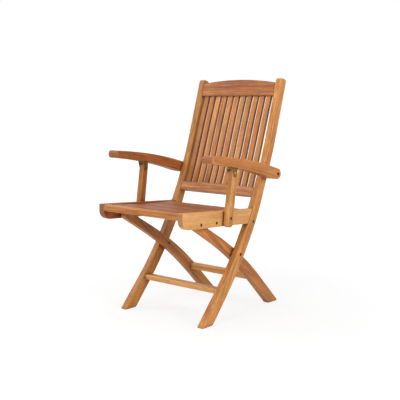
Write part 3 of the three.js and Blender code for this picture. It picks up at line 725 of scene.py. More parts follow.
@dataclass(frozen=True)
class OiledTeak:
    """Teak heartwood, planed and sanded to a fine grit, then oiled by hand.

    The oil deepens the ground and leaves a low satin. Growth rings show as long lines along a
    board, streaks and flames of colour run with them, and the open pores are short dark
    dashes. Sawn ends drink more oil and look a dull pinkish brown. Arrises are painted paler,
    partly for wear and partly as a painted highlight.

    Attributes:
        ground: The board's main colour.
        end: The colour of its sawn ends.
        ring_mm: Distance between growth rings.
        streak_mm: Width of the colour streaks.
        flame_mm: Width of the broad, slow changes of colour.
        fibre_mm: Width of the fibre bundles.
        pore_mm: Width of the pores as they are drawn.
        pale: How much lighter the pale wood is, in red, green and blue.
        deep: How much darker the late wood is, in red, green and blue.
        roughness: Roughness of the oiled face.
        contrast: Strength of the rings, streaks, flames and mottle.
        painted_shade_mm: Reach of the painted shade in narrow gaps and inner corners.
        painted_shade: Colour of that painted shade.
        pore: Colour of the pores.
    """

    ground: str
    end: str = "#AC7C61"
    ring_mm: float = 4.2
    streak_mm: float = 7.0
    flame_mm: float = 17.0
    fibre_mm: float = 1.5
    pore_mm: float = 0.9
    pale: tuple[float, float, float] = (1.2, 1.36, 1.6)
    deep: tuple[float, float, float] = (0.62, 0.5, 0.42)
    roughness: float = 0.47
    contrast: float = 1.0
    painted_shade_mm: float = 16.0
    painted_shade: str = "#6A3A18"
    pore: str = "#4A2A18"

    def shade(self, gain: Sequence[float]) -> tuple[float, float, float, float]:
        """The ground colour made lighter or deeper, channel by channel."""
        red, green, blue, _ = linear(self.ground)
        return (red * gain[0], green * gain[1], blue * gain[2], 1.0)

    def marks(self, long_mm: float, wide_mm: float) -> tuple[float, float, float]:
        """The scale at which one unit of noise is a mark's length and width."""
        return (1 / (long_mm * MM), 1 / (wide_mm * MM), 1 / (wide_mm * MM))

    def material(self, name: str, seed: int, turn: Matrix) -> bpy.types.Material:
        """The finish for one board, cut from its own part of the log.

        Args:
            name: The board's name.
            seed: Seed of the board's place in the log and of its shade.
            turn: The turn from the chair's frame to the board's own, with x along the grain.

        Returns:
            The new material.
        """
        rng = random.Random(seed)
        material, tree = fresh(f"oiled_teak_{name}")
        place = add(tree, "TexCoord").outputs["Object"]
        values = {"Vector": place, "Rotation": turn.to_euler()}
        board = add(tree, "VectorRotate", values, rotation_type="EULER_XYZ")
        # The board lies anywhere along the log, 50 to 110 mm from the pith.
        angle = rng.uniform(0, 2 * math.pi)
        pith = rng.uniform(0.05, 0.11)
        offset = (rng.uniform(-3, 3), pith * math.cos(angle), pith * math.sin(angle))
        log = add(tree, "VectorMath", {0: board.outputs[0], 1: offset}).outputs[0]
        fibre = self.noise(tree, log, 28, self.fibre_mm, 2.0)
        pore = self.noise(tree, log, 10, self.pore_mm, 1.0)
        # Pores are 0.2 mm wide in the real wood, drawn coarser so that they show at all.
        span = {"Value": pore, "From Min": 0.6, "From Max": 0.7}
        pores = add(tree, "MapRange", span).outputs[0]
        rings = self.rings(tree, log)
        long_grain = self.long_grain(tree, log, rings, fibre, pores)
        # Boards off one stack differ a little in depth of colour.
        depth = rng.uniform(0.96, 1.04)
        held = {0: long_grain, "Scale": depth}
        face = add(tree, "VectorMath", held, operation="SCALE").outputs[0]
        sawn = self.sawn(tree, turn)
        # Rings seen end on, broken up by the pores.
        specks = add(tree, "TexVoronoi", {"Vector": log, "Scale": 1 / (2.4 * MM)})
        soaked = {0: specks.outputs["Distance"], 1: rings}
        soak = add(tree, "Math", soaked, operation="MULTIPLY").outputs[0]
        span = {"Value": soak, "From Min": 0.05, "From Max": 0.26, "To Max": 0.95}
        speck = add(tree, "MapRange", span)
        pair = {0: speck.outputs[0], 6: linear(self.end), 7: self.shade(self.deep)}
        ends = add(tree, "Mix", pair, data_type="RGBA")
        both = {0: sawn, 6: face, 7: ends.outputs[2]}
        unshaded_colour = add(tree, "Mix", both, data_type="RGBA").outputs[2]
        # Painted shade: the colour darkens towards a brown in narrow gaps and inner corners, where
        # less light reaches.
        reach = {"Distance": self.painted_shade_mm * MM}
        open_to = add(tree, "AmbientOcclusion", reach, samples=6).outputs["AO"]
        span = {"Value": open_to, "From Min": 0.42, "From Max": 0.94}
        span.update({"To Min": PAINTED_SHADE_SHARE, "To Max": 0.0})
        painted_shade = add(tree, "MapRange", span).outputs[0]
        pair = {0: painted_shade, 6: unshaded_colour, 7: linear(self.painted_shade)}
        colour = add(tree, "Mix", pair, data_type="RGBA").outputs[2]
        self.surface(tree, colour, fibre, pores, sawn)
        return material

    def noise(self, tree: Tree, log: Plug, long_mm: float, wide_mm: float, detail: float) -> Plug:
        """Marks of a given length and width that run along the grain.

        Args:
            tree: The material's tree.
            log: Coordinates in the log, x along the grain.
            long_mm: Length of a mark.
            wide_mm: Width of a mark.
            detail: Octaves of finer marks.

        Returns:
            The marks' value, about 0.3 to 0.7.
        """
        scaled = {0: log, 1: self.marks(long_mm, wide_mm)}
        where = add(tree, "VectorMath", scaled, operation="MULTIPLY").outputs[0]
        values = {"Vector": where, "Scale": 1.0, "Detail": detail, "Roughness": 0.6}
        return add(tree, "TexNoise", values).outputs["Fac"]

    def rings(self, tree: Tree, log: Plug) -> Plug:
        """Growth rings round the pith, 0 in the pale early wood and 1 in the late wood.

        Args:
            tree: The material's tree.
            log: Coordinates in the log, x along the grain.

        Returns:
            The rings' value.
        """
        # The trunk sways some 12 mm over a third of a metre, which gives cathedral figure.
        scaled = {0: log, 1: self.marks(320, 70)}
        where = add(tree, "VectorMath", scaled, operation="MULTIPLY").outputs[0]
        values = {"Vector": where, "Scale": 1.0, "Detail": 2.0}
        sway = add(tree, "TexNoise", values).outputs["Color"]
        about = {0: sway, 1: (0.0, 0.05, 0.05), 2: log}
        bent = add(tree, "VectorMath", about, operation="MULTIPLY_ADD").outputs[0]
        flat = {0: bent, 1: (0.02, 1.0, 1.0)}
        across = add(tree, "VectorMath", flat, operation="MULTIPLY").outputs[0]
        radius = add(tree, "VectorMath", {0: across}, operation="LENGTH")
        years = {0: radius.outputs["Value"], 1: 1 / (self.ring_mm * MM)}
        ring = add(tree, "Math", years, operation="MULTIPLY").outputs[0]
        year = add(tree, "Math", {0: ring}, operation="FRACT").outputs[0]
        # A slow rise to the dark late wood, then a quick close.
        late = add(tree, "ValToRGB", {"Fac": year})
        late.color_ramp.elements[0].position = 0.15
        late.color_ramp.elements[1].position = 0.82
        late.color_ramp.elements[1].color = (1.0, 1.0, 1.0, 1.0)
        close = late.color_ramp.elements.new(1.0)
        close.color = (0.1, 0.1, 0.1, 1.0)
        return late.outputs["Color"]

    def long_grain(self, tree: Tree, log: Plug, rings: Plug, fibre: Plug, pores: Plug) -> Plug:
        """The colour of a planed face: rings, streaks, flames, fibres, pores and arrises painted
        pale for wear and as a painted highlight.

        Args:
            tree: The material's tree.
            log: Coordinates in the log, x along the grain.
            rings: 1 in the dark late wood of each growth ring.
            fibre: Value of the fibre bundles.
            pores: 1 in the pores, 0 elsewhere.

        Returns:
            The colour.
        """
        ground, pale, deep = linear(self.ground), self.shade(self.pale), self.shade(self.deep)
        late = {0: rings, 1: RING_SHARE * self.contrast}
        ring = add(tree, "Math", late, operation="MULTIPLY").outputs[0]
        ringed = add(tree, "Mix", {0: ring, 6: ground, 7: deep}, data_type="RGBA")
        streak = self.noise(tree, log, 240, self.streak_mm, 3.0)
        share = min(0.95, STREAK_SHARE * self.contrast)
        span = {"Value": streak, "From Min": 0.4, "From Max": 0.62, "To Max": share}
        mask = add(tree, "MapRange", span).outputs[0]
        pair = {0: mask, 6: ringed.outputs[2], 7: pale}
        streaked = add(tree, "Mix", pair, data_type="RGBA")
        flame = self.noise(tree, log, 300, self.flame_mm, 2.0)
        share = FLAME_SHARE * self.contrast
        span = {"Value": flame, "From Min": 0.46, "From Max": 0.66, "To Max": share}
        mask = add(tree, "MapRange", span).outputs[0]
        pair = {0: mask, 6: streaked.outputs[2], 7: deep}
        flamed = add(tree, "Mix", pair, data_type="RGBA")
        span = {"Value": fibre, "From Min": 0.3, "From Max": 0.7, "To Min": 0.84, "To Max": 1.14}
        line = add(tree, "MapRange", span).outputs[0]
        # The grain leans a little to and fro, which mottles the light that it throws back.
        lean = self.noise(tree, log, 95, 34, 2.0)
        light = 0.16 * self.contrast
        span = {"Value": lean, "From Min": 0.32, "From Max": 0.68}
        span.update({"To Min": 1 - light, "To Max": 1 + light})
        mottle = add(tree, "MapRange", span).outputs[0]
        tone = add(tree, "Math", {0: line, 1: mottle}, operation="MULTIPLY").outputs[0]
        held = {0: flamed.outputs[2], "Scale": tone}
        lined = add(tree, "VectorMath", held, operation="SCALE").outputs[0]
        shown = {0: pores, 1: PORE_SHARE}
        mask = add(tree, "Math", shown, operation="MULTIPLY").outputs[0]
        pair = {0: mask, 6: lined, 7: linear(self.pore)}
        pitted = add(tree, "Mix", pair, data_type="RGBA")
        # Arrises are painted paler, partly for wear from hands and partly as a painted highlight on
        # the rounded edges.
        arris = add(tree, "Attribute", attribute_name="arris").outputs["Fac"]
        wear_and_highlight = {0: arris, 1: WEAR_AND_HIGHLIGHT_SHARE}
        mask = add(tree, "Math", wear_and_highlight, operation="MULTIPLY").outputs[0]
        pair = {0: mask, 6: pitted.outputs[2], 7: pale}
        return add(tree, "Mix", pair, data_type="RGBA").outputs[2]

    def sawn(self, tree: Tree, turn: Matrix) -> Plug:
        """Where the wood is cut across the grain.

        Args:
            tree: The material's tree.
            turn: The turn from the chair's frame to the board's own, with x along the grain.

        Returns:
            A value near 1 on sawn ends and 0 along the grain.
        """
        normal = add(tree, "NewGeometry").outputs["Normal"]
        kinds = {"vector_type": "NORMAL", "convert_from": "WORLD", "convert_to": "OBJECT"}
        local = add(tree, "VectorTransform", {0: normal}, **kinds).outputs[0]
        pair = {0: local, 1: tuple(turn[0])}
        along = add(tree, "VectorMath", pair, operation="DOT_PRODUCT")
        size = {0: along.outputs["Value"]}
        facing = add(tree, "Math", size, operation="ABSOLUTE").outputs[0]
        span = {"Value": facing, "From Min": 0.58, "From Max": 0.8, "To Max": 0.85}
        return add(tree, "MapRange", span).outputs[0]

    def surface(self, tree: Tree, colour: Plug, fibre: Plug, pores: Plug, sawn: Plug) -> None:
        """Gives the wood its low satin, uneven with the fibres and duller on sawn ends.

        Args:
            tree: The material's tree.
            colour: The wood's colour.
            fibre: Value of the fibre bundles.
            pores: 1 in the pores, which are sunk, and 0 elsewhere.
            sawn: 1 on sawn ends, 0 along the grain.
        """
        low, high = self.roughness - 0.07, self.roughness + 0.1
        span = {"Value": fibre, "From Min": 0.3, "From Max": 0.7, "To Min": low, "To Max": high}
        dull = add(tree, "MapRange", span).outputs[0]
        more = {0: sawn, 1: 0.15, 2: dull}
        duller = add(tree, "Math", more, operation="MULTIPLY_ADD").outputs[0]
        sunk = {0: pores, 1: -0.6, 2: fibre}
        relief = add(tree, "Math", sunk, operation="MULTIPLY_ADD").outputs[0]
        bump = add(tree, "Bump", {"Strength": 0.25, "Distance": 0.0004, "Height": relief})
        values = {"Base Color": colour, "Roughness": duller, "Normal": bump.outputs[0], "IOR": 1.46}
        # A thin oil film on open grain throws back less than a closed varnish would.
        values["Specular IOR Level"] = 0.4
        shader = add(tree, "BsdfPrincipled", values)
        add(tree, "OutputMaterial", {"Surface": shader.outputs[0]})


class Teak(Enum):
    """Boards of different heartwood, as they come off one stack, roughly palest first."""

    SAND = OiledTeak("#E8A864", contrast=0.4)
    WHEAT = OiledTeak("#D69552")
    HONEY = OiledTeak("#D58E49")
    AMBER = OiledTeak("#C97D3C")
    CLAY = OiledTeak("#C98752", contrast=1.3)
    BRONZE = OiledTeak("#C17E37")
    ORANGE = OiledTeak("#C67B3B", contrast=1.25)
    RUSSET = OiledTeak("#B67234")
    ROSE = OiledTeak("#B66F3B", contrast=1.4)
    RED = OiledTeak("#A75F2B")
    BROWN = OiledTeak("#9C5A29")
    UMBER = OiledTeak("#955125")


@dataclass(frozen=True)
class CastBrass:
    """Brass, tumbled and left to tarnish.

    Handling and weather turn the yellow to a dull olive, darker in blotches a few millimetres
    across, and leave a soft, broken shine.

    Attributes:
        bright: Colour where handling has polished the metal.
        tarnish: Colour of the blotches.
        blotch_mm: Width of a blotch.
        grit_mm: Width of the tumbling marks, drawn coarser than they are so that they show.
        roughness: Roughness of the polished metal.
    """

    bright: str
    tarnish: str
    blotch_mm: float = 5.0
    grit_mm: float = 0.9
    roughness: float = 0.38

    def material(self, name: str, seed: int, turn: Matrix) -> bpy.types.Material:
        """The metal for one fitting.

        Args:
            name: The fitting's name.
            seed: Seed of the blotches' places.
            turn: Unused, as cast metal has no grain.

        Returns:
            The new material.
        """
        rng = random.Random(seed)
        material, tree = fresh(f"tumbled_brass_{name}")
        place = add(tree, "TexCoord").outputs["Object"]
        offset = tuple(rng.uniform(-1, 1) for _ in range(3))
        moved = add(tree, "VectorMath", {0: place, 1: offset}).outputs[0]
        values = {"Vector": moved, "Scale": 1 / (self.blotch_mm * MM), "Detail": 4.0}
        blotch = add(tree, "TexNoise", {**values, "Roughness": 0.6}).outputs["Fac"]
        values = {"Vector": moved, "Scale": 1 / (self.grit_mm * MM), "Detail": 2.0}
        grit = add(tree, "TexNoise", values).outputs["Fac"]
        span = {"Value": blotch, "From Min": 0.38, "From Max": 0.66}
        mask = add(tree, "MapRange", span).outputs[0]
        pair = {0: mask, 6: linear(self.bright), 7: linear(self.tarnish)}
        colour = add(tree, "Mix", pair, data_type="RGBA").outputs[2]
        low, high = self.roughness - 0.1, self.roughness + 0.18
        span = {"Value": blotch, "To Min": low, "To Max": high}
        gloss = add(tree, "MapRange", span).outputs[0]
        relief = {"Strength": 0.2, "Distance": 0.0002, "Height": grit}
        bump = add(tree, "Bump", relief).outputs[0]
        values = {"Base Color": colour, "Roughness": gloss, "Normal": bump, "Metallic": 1.0}
        shader = add(tree, "BsdfPrincipled", values)
        add(tree, "OutputMaterial", {"Surface": shader.outputs[0]})
        return material


class Brass(Enum):
    """The states of the chair's fittings."""

    GOLDEN = CastBrass("#D2B36A", "#8F7440")
    OLIVE = CastBrass("#9C7B40", "#574325")
    DARK = CastBrass("#6A5E3C", "#3A3424", roughness=0.45)


@dataclass(frozen=True)
class MouldedNylon:
    """Black nylon, injection moulded with a fine spark-eroded texture: dull, faintly grained.

    Attributes:
        colour: The plastic's colour.
        scuffed: Its colour where the floor has scuffed it.
        grain_mm: Width of the moulded grain, drawn coarser than it is so that it shows.
        scuff_mm: Width of a scuff.
        roughness: Roughness of the plastic where it isn't scuffed.
    """

    colour: str = "#2A2623"
    scuffed: str = "#3B3632"
    grain_mm: float = 0.8
    scuff_mm: float = 1000 / 180
    roughness: float = 0.6

    def material(self, name: str, seed: int, turn: Matrix) -> bpy.types.Material:
        """The plastic for one glide.

        Args:
            name: The glide's name.
            seed: Seed of the scuffs' places.
            turn: Unused, as moulded plastic has no grain direction.

        Returns:
            The new material.
        """
        material, tree = fresh(f"moulded_nylon_{name}")
        place = add(tree, "TexCoord").outputs["Object"]
        offset = (seed % 100 * 0.13, 0.0, 0.0)
        moved = add(tree, "VectorMath", {0: place, 1: offset}).outputs[0]
        values = {"Vector": moved, "Scale": 1 / (self.grain_mm * MM), "Detail": 2.0}
        grain = add(tree, "TexNoise", values).outputs["Fac"]
        values = {"Vector": moved, "Scale": 1 / (self.scuff_mm * MM), "Detail": 3.0}
        scuff = add(tree, "TexNoise", values).outputs["Fac"]
        pair = {0: scuff, 6: linear(self.colour), 7: linear(self.scuffed)}
        colour = add(tree, "Mix", pair, data_type="RGBA").outputs[2]
        low, high = self.roughness - 0.1, self.roughness + 0.15
        span = {"Value": scuff, "To Min": low, "To Max": high}
        gloss = add(tree, "MapRange", span).outputs[0]
        relief = {"Strength": 0.3, "Distance": 0.0001, "Height": grain}
        bump = add(tree, "Bump", relief).outputs[0]
        values = {"Base Color": colour, "Roughness": gloss, "Normal": bump, "IOR": 1.53}
        shader = add(tree, "BsdfPrincipled", values)
        add(tree, "OutputMaterial", {"Surface": shader.outputs[0]})
        return material


class Nylon(Enum):
    """The glides' plastic."""

    BLACK = MouldedNylon()


# The back's slats, from the sitter's right to the left.
SLAT_TONES = (
    Teak.RUSSET,
    Teak.ORANGE,
    Teak.HONEY,
    Teak.ORANGE,
    Teak.HONEY,
    Teak.AMBER,
    Teak.WHEAT,
    Teak.HONEY,
    Teak.HONEY,
    Teak.AMBER,
    Teak.WHEAT,
)


# The chair's shared lines


@dataclass
class Layout:
    """The lines, layers and pivots that the pieces share, in millimetres.

    Attributes:
        stile: Front edge of the stiles, from the toe up.
        overhang: How far the seat rails reach forward of the toes.
        rail_slope: Rise of the seat rails to the rear, as a ratio.
        rail_clear: Space between the rails' rear ends and the stiles' front edges.
        sole: Height above the floor at which the legs are cut off, over their glides.
        cross_place: The crossing bolt, up the stile's front edge and in from it.
        arm_place: The arm's bolt, given likewise.
        link_eye_place: The link's bolt in the stile, down from the rail's end and in likewise.
        leg_place: The leg's bolt, back from the seat rail's front end and down from its top.
        seat_link_place: The link's bolt in the seat rail, given likewise.
        post_place: The post's bolt, given likewise.
    """

    back_half: float = 185.0
    stile_thickness: float = 27.5
    rail_thickness: float = 25.0
    link_thickness: float = 3.0
    leg_thickness: float = 26.0
    arm_width: float = 52.5
    post_thickness: float = 23.8
    ear_thickness: float = 2.0
    link_gap: float = 0.5
    arm_gap: float = 0.7
    ear_gap: float = 0.35
    stile: Sweep = Sweep((0.0, 0.0), 49.11, 73.03, 134.0, 1624.0)
    stile_length: float = 1040.0
    seat_height: float = 432.5
    overhang: float = 106.0
    rail_slope: float = math.tan(math.radians(-3.405))
    rail_clear: float = 0.6
    sole: float = 2.0
    cross_place: Point = (325.7, 19.95)
    arm_place: Point = (661.3, 24.4)
    link_eye_place: Point = (42.85, 26.0)
    leg_place: Point = (98.2, 44.1)
    seat_link_place: Point = (184.4, 42.5)
    post_place: Point = (233.8, 25.7)

    def __post_init__(self) -> None:
        """Works out the layers across the chair and the pivots."""
        self.stile_in = self.back_half
        self.stile_out = self.stile_in + self.stile_thickness
        self.rail_out = self.stile_out
        self.rail_in = self.rail_out - self.rail_thickness
        self.link_out = self.stile_in - self.link_gap
        self.link_in = self.link_out - self.link_thickness
        self.leg_out = self.link_in - self.link_gap
        self.leg_in = self.leg_out - self.leg_thickness
        self.arm_in = self.stile_out + self.arm_gap
        self.arm_out = self.arm_in + self.arm_width
        self.post_in = self.arm_in + self.ear_thickness + self.ear_gap
        self.post_out = self.post_in + self.post_thickness
        self.ear_in = self.post_in - self.ear_gap - self.ear_thickness
        self.ear_out = self.post_out + self.ear_gap + self.ear_thickness
        down, inside = self.link_eye_place
        self.link_eye = self.on_stile(self.stile_at(self.rail_end()[1]) - down, inside)
        self.cross = self.on_stile(*self.cross_place)
        self.arm_pivot = self.on_stile(*self.arm_place)
        self.leg_pivot = self.on_rail(*self.leg_place)
        self.seat_link = self.on_rail(*self.seat_link_place)
        self.post_pivot = self.on_rail(*self.post_place)

    def rail_top(self, y: float) -> float:
        """Height of the seat rail's top edge."""
        return self.seat_height + self.rail_slope * (y + self.overhang)

    def on_rail(self, reach: float, drop: float) -> Point:
        """A point back from the seat rail's front end and down from its top edge."""
        y = reach - self.overhang
        return (y, self.rail_top(y) - drop)

    def on_stile(self, reach: float, inside: float) -> Point:
        """A point up the stile's front edge and in from it."""
        return self.stile.at(reach).beside(inside)

    def stile_at(self, height: float) -> float:
        """Distance along the stile's front edge at a height."""
        return self.stile.at_height(height, self.stile_length)

    def rail_end(self) -> Point:
        """Upper rear corner of the seat rail, where it meets the stile.

        Returns:
            The corner, found by going to and fro between the rail's line and the stile's.
        """
        end = self.stile.at(0.0)
        for _ in range(20):
            end = self.stile.at(self.stile_at(self.rail_top(end.y)))
        return (end.y - self.rail_clear, end.z)


@dataclass
class Fasteners:
    """Barrel bolts with domed heads and hexagon sockets, sunk in round bores.

    Attributes:
        height: Height of a head, its dome included.
        dome: Rounding of a head's rim.
        chamfer: Bevel of a nut's rim.
        bore: Radius of the wide bore for a head or nut.
        depth: Depth of that bore below the board's face.
        arm_bore: Radius of the wide bore in an arm.
        arm_depth: Depth of the wide bore in an arm.
        collar: Radius of the collar between two boards.
        eye_collar: Radius of the collar between a link and the seat rail.
        gap: Space beside a collar and at a blind end.
        play: Space round a shank.
        slack: Space under a head.
    """

    layout: Layout
    shop: Workshop
    shank: float = 3.0
    head: float = 5.2
    height: float = 3.0
    dome: float = 1.2
    chamfer: float = 0.6
    socket: float = 1.8
    socket_depth: float = 1.5
    bore: float = 5.8
    depth: float = 5.0
    arm_bore: float = 6.8
    arm_depth: float = 17.0
    collar: float = 9.5
    eye_collar: float = 9.0
    gap: float = 0.3
    play: float = 0.3
    slack: float = 0.15

    def __post_init__(self) -> None:
        """Works out the radius of the bore in which a shank turns."""
        self.narrow = self.shank + self.play

    def sunk(self, at: Point, side: int, face: float, end: float) -> Turning:
        """A hole for a bolt's head and shank, sunk from a face towards an end.

        Args:
            at: The axis in the side view.
            side: 1 or -1, the side of the chair.
            face: Distance of the bored face from the chair's middle.
            end: Distance at which the shank's bore stops.

        Returns:
            The hole's solid.
        """
        inwards = math.copysign(1.0, end - face)
        mouth, floor = face - MOUTH * inwards, face + (self.depth + self.slack) * inwards
        return stepped(at, side, self.bore, self.narrow, mouth, floor, end)

    def head_profile(self, seat: float) -> Profile:
        """A domed head that stands on a seat, down to the floor of its socket.

        Args:
            seat: Distance of the seat from the chair's middle.

        Returns:
            The head's part of a bolt's profile.
        """
        top, dome = seat + self.height, self.dome
        rim = [(self.head, seat), (self.head, top - dome)]
        for turn in (0.5, 1.0):
            inward, down = dome * (1 - math.cos(turn)), dome * (1 - math.sin(turn))
            rim.append((self.head - inward, top - down))
        rim += [(self.head - dome, top), (self.socket, top)]
        return rim + [(self.socket, top - self.socket_depth), (0, top - self.socket_depth)]

    def ring(self, radius: float, between: tuple[float, float]) -> Profile:
        """A collar between two faces, with a gap at each."""
        low, high = between[0] + self.gap, between[1] - self.gap
        return [(self.shank, low), (radius, low), (radius, high), (self.shank, high)]

    def plain(self, start: float, seat: float) -> Profile:
        """Profile of a bolt with a blunt end and no collar."""
        return [(0, start), (self.shank, start), (self.shank, seat)] + self.head_profile(seat)

    def through(
        self, inner: float, outer: float, between: tuple[float, float], blind: bool
    ) -> Profile:
        """Profile of a bolt with a sunk head, a collar between the boards and a nut or blind end.

        Args:
            inner: Inner face of the inner board.
            outer: Outer face of the outer board.
            between: The two faces that the collar lies between.
            blind: Whether the bolt ends inside the inner board, without a nut.

        Returns:
            The bolt's profile.
        """
        nut, seat = inner + self.depth, outer - self.depth
        foot, rim = nut - self.height, self.head - self.chamfer
        start = [(0, foot), (rim, foot), (self.head, foot + self.chamfer)]
        start += [(self.head, nut), (self.shank, nut)]
        if blind:
            start = [(0, nut + self.gap), (self.shank, nut + self.gap)]
        middle = self.ring(self.collar, between) + [(self.shank, seat)]
        return start + middle + self.head_profile(seat)

    def eyed(self) -> Profile:
        """Profile of the bolt that holds a link's upper eye against the seat rail.

        Returns:
            The bolt's profile.
        """
        lay, seat = self.layout, self.layout.rail_out - self.depth
        collar = self.ring(self.eye_collar, (lay.link_out, lay.rail_in))
        start = [(0, lay.link_in), (self.shank, lay.link_in)]
        return start + collar + [(self.shank, seat)] + self.head_profile(seat)

    def build(self) -> None:
        """Makes every bolt on both sides."""
        lay, depth, gap = self.layout, self.depth, self.gap
        cross = self.through(lay.leg_in, lay.stile_out, (lay.leg_out, lay.stile_in), blind=False)
        leg = self.through(lay.leg_in, lay.rail_out, (lay.leg_out, lay.rail_in), blind=True)
        link = self.plain(lay.stile_in + gap, lay.stile_out - depth)
        arm = self.plain(lay.stile_in + depth + gap, lay.arm_out - self.arm_depth)
        post = self.plain(lay.post_in + gap, lay.post_out - depth)
        for word, side in SIDES:
            for name, at, body, profile in (
                ("cross_bolt", lay.cross, "back_frame", cross),
                ("leg_bolt", lay.leg_pivot, "seat", leg),
                ("stile_link_bolt", lay.link_eye, "back_frame", link),
                ("arm_bolt", lay.arm_pivot, "back_frame", arm),
                ("seat_link_bolt", lay.seat_link, "seat", self.eyed()),
                ("post_bolt", lay.post_pivot, f"post_{word}", post),
            ):
                # The socket's two rings of points, just before its floor's middle, are six-sided.
                last = len(profile)
                turning = Turning(at, profile, side, hexagon=(last - 3, last - 2))
                node = f"{name}_{word}"
                self.shop.make(node, "turned", [turning], body, "dark_brass", Brass.DARK)


@dataclass(frozen=True)
class RailSizes:
    """A rail between the stiles: how high it starts, its height, its arch and its thickness."""

    lift: float
    height: float
    rise: float
    thickness: float


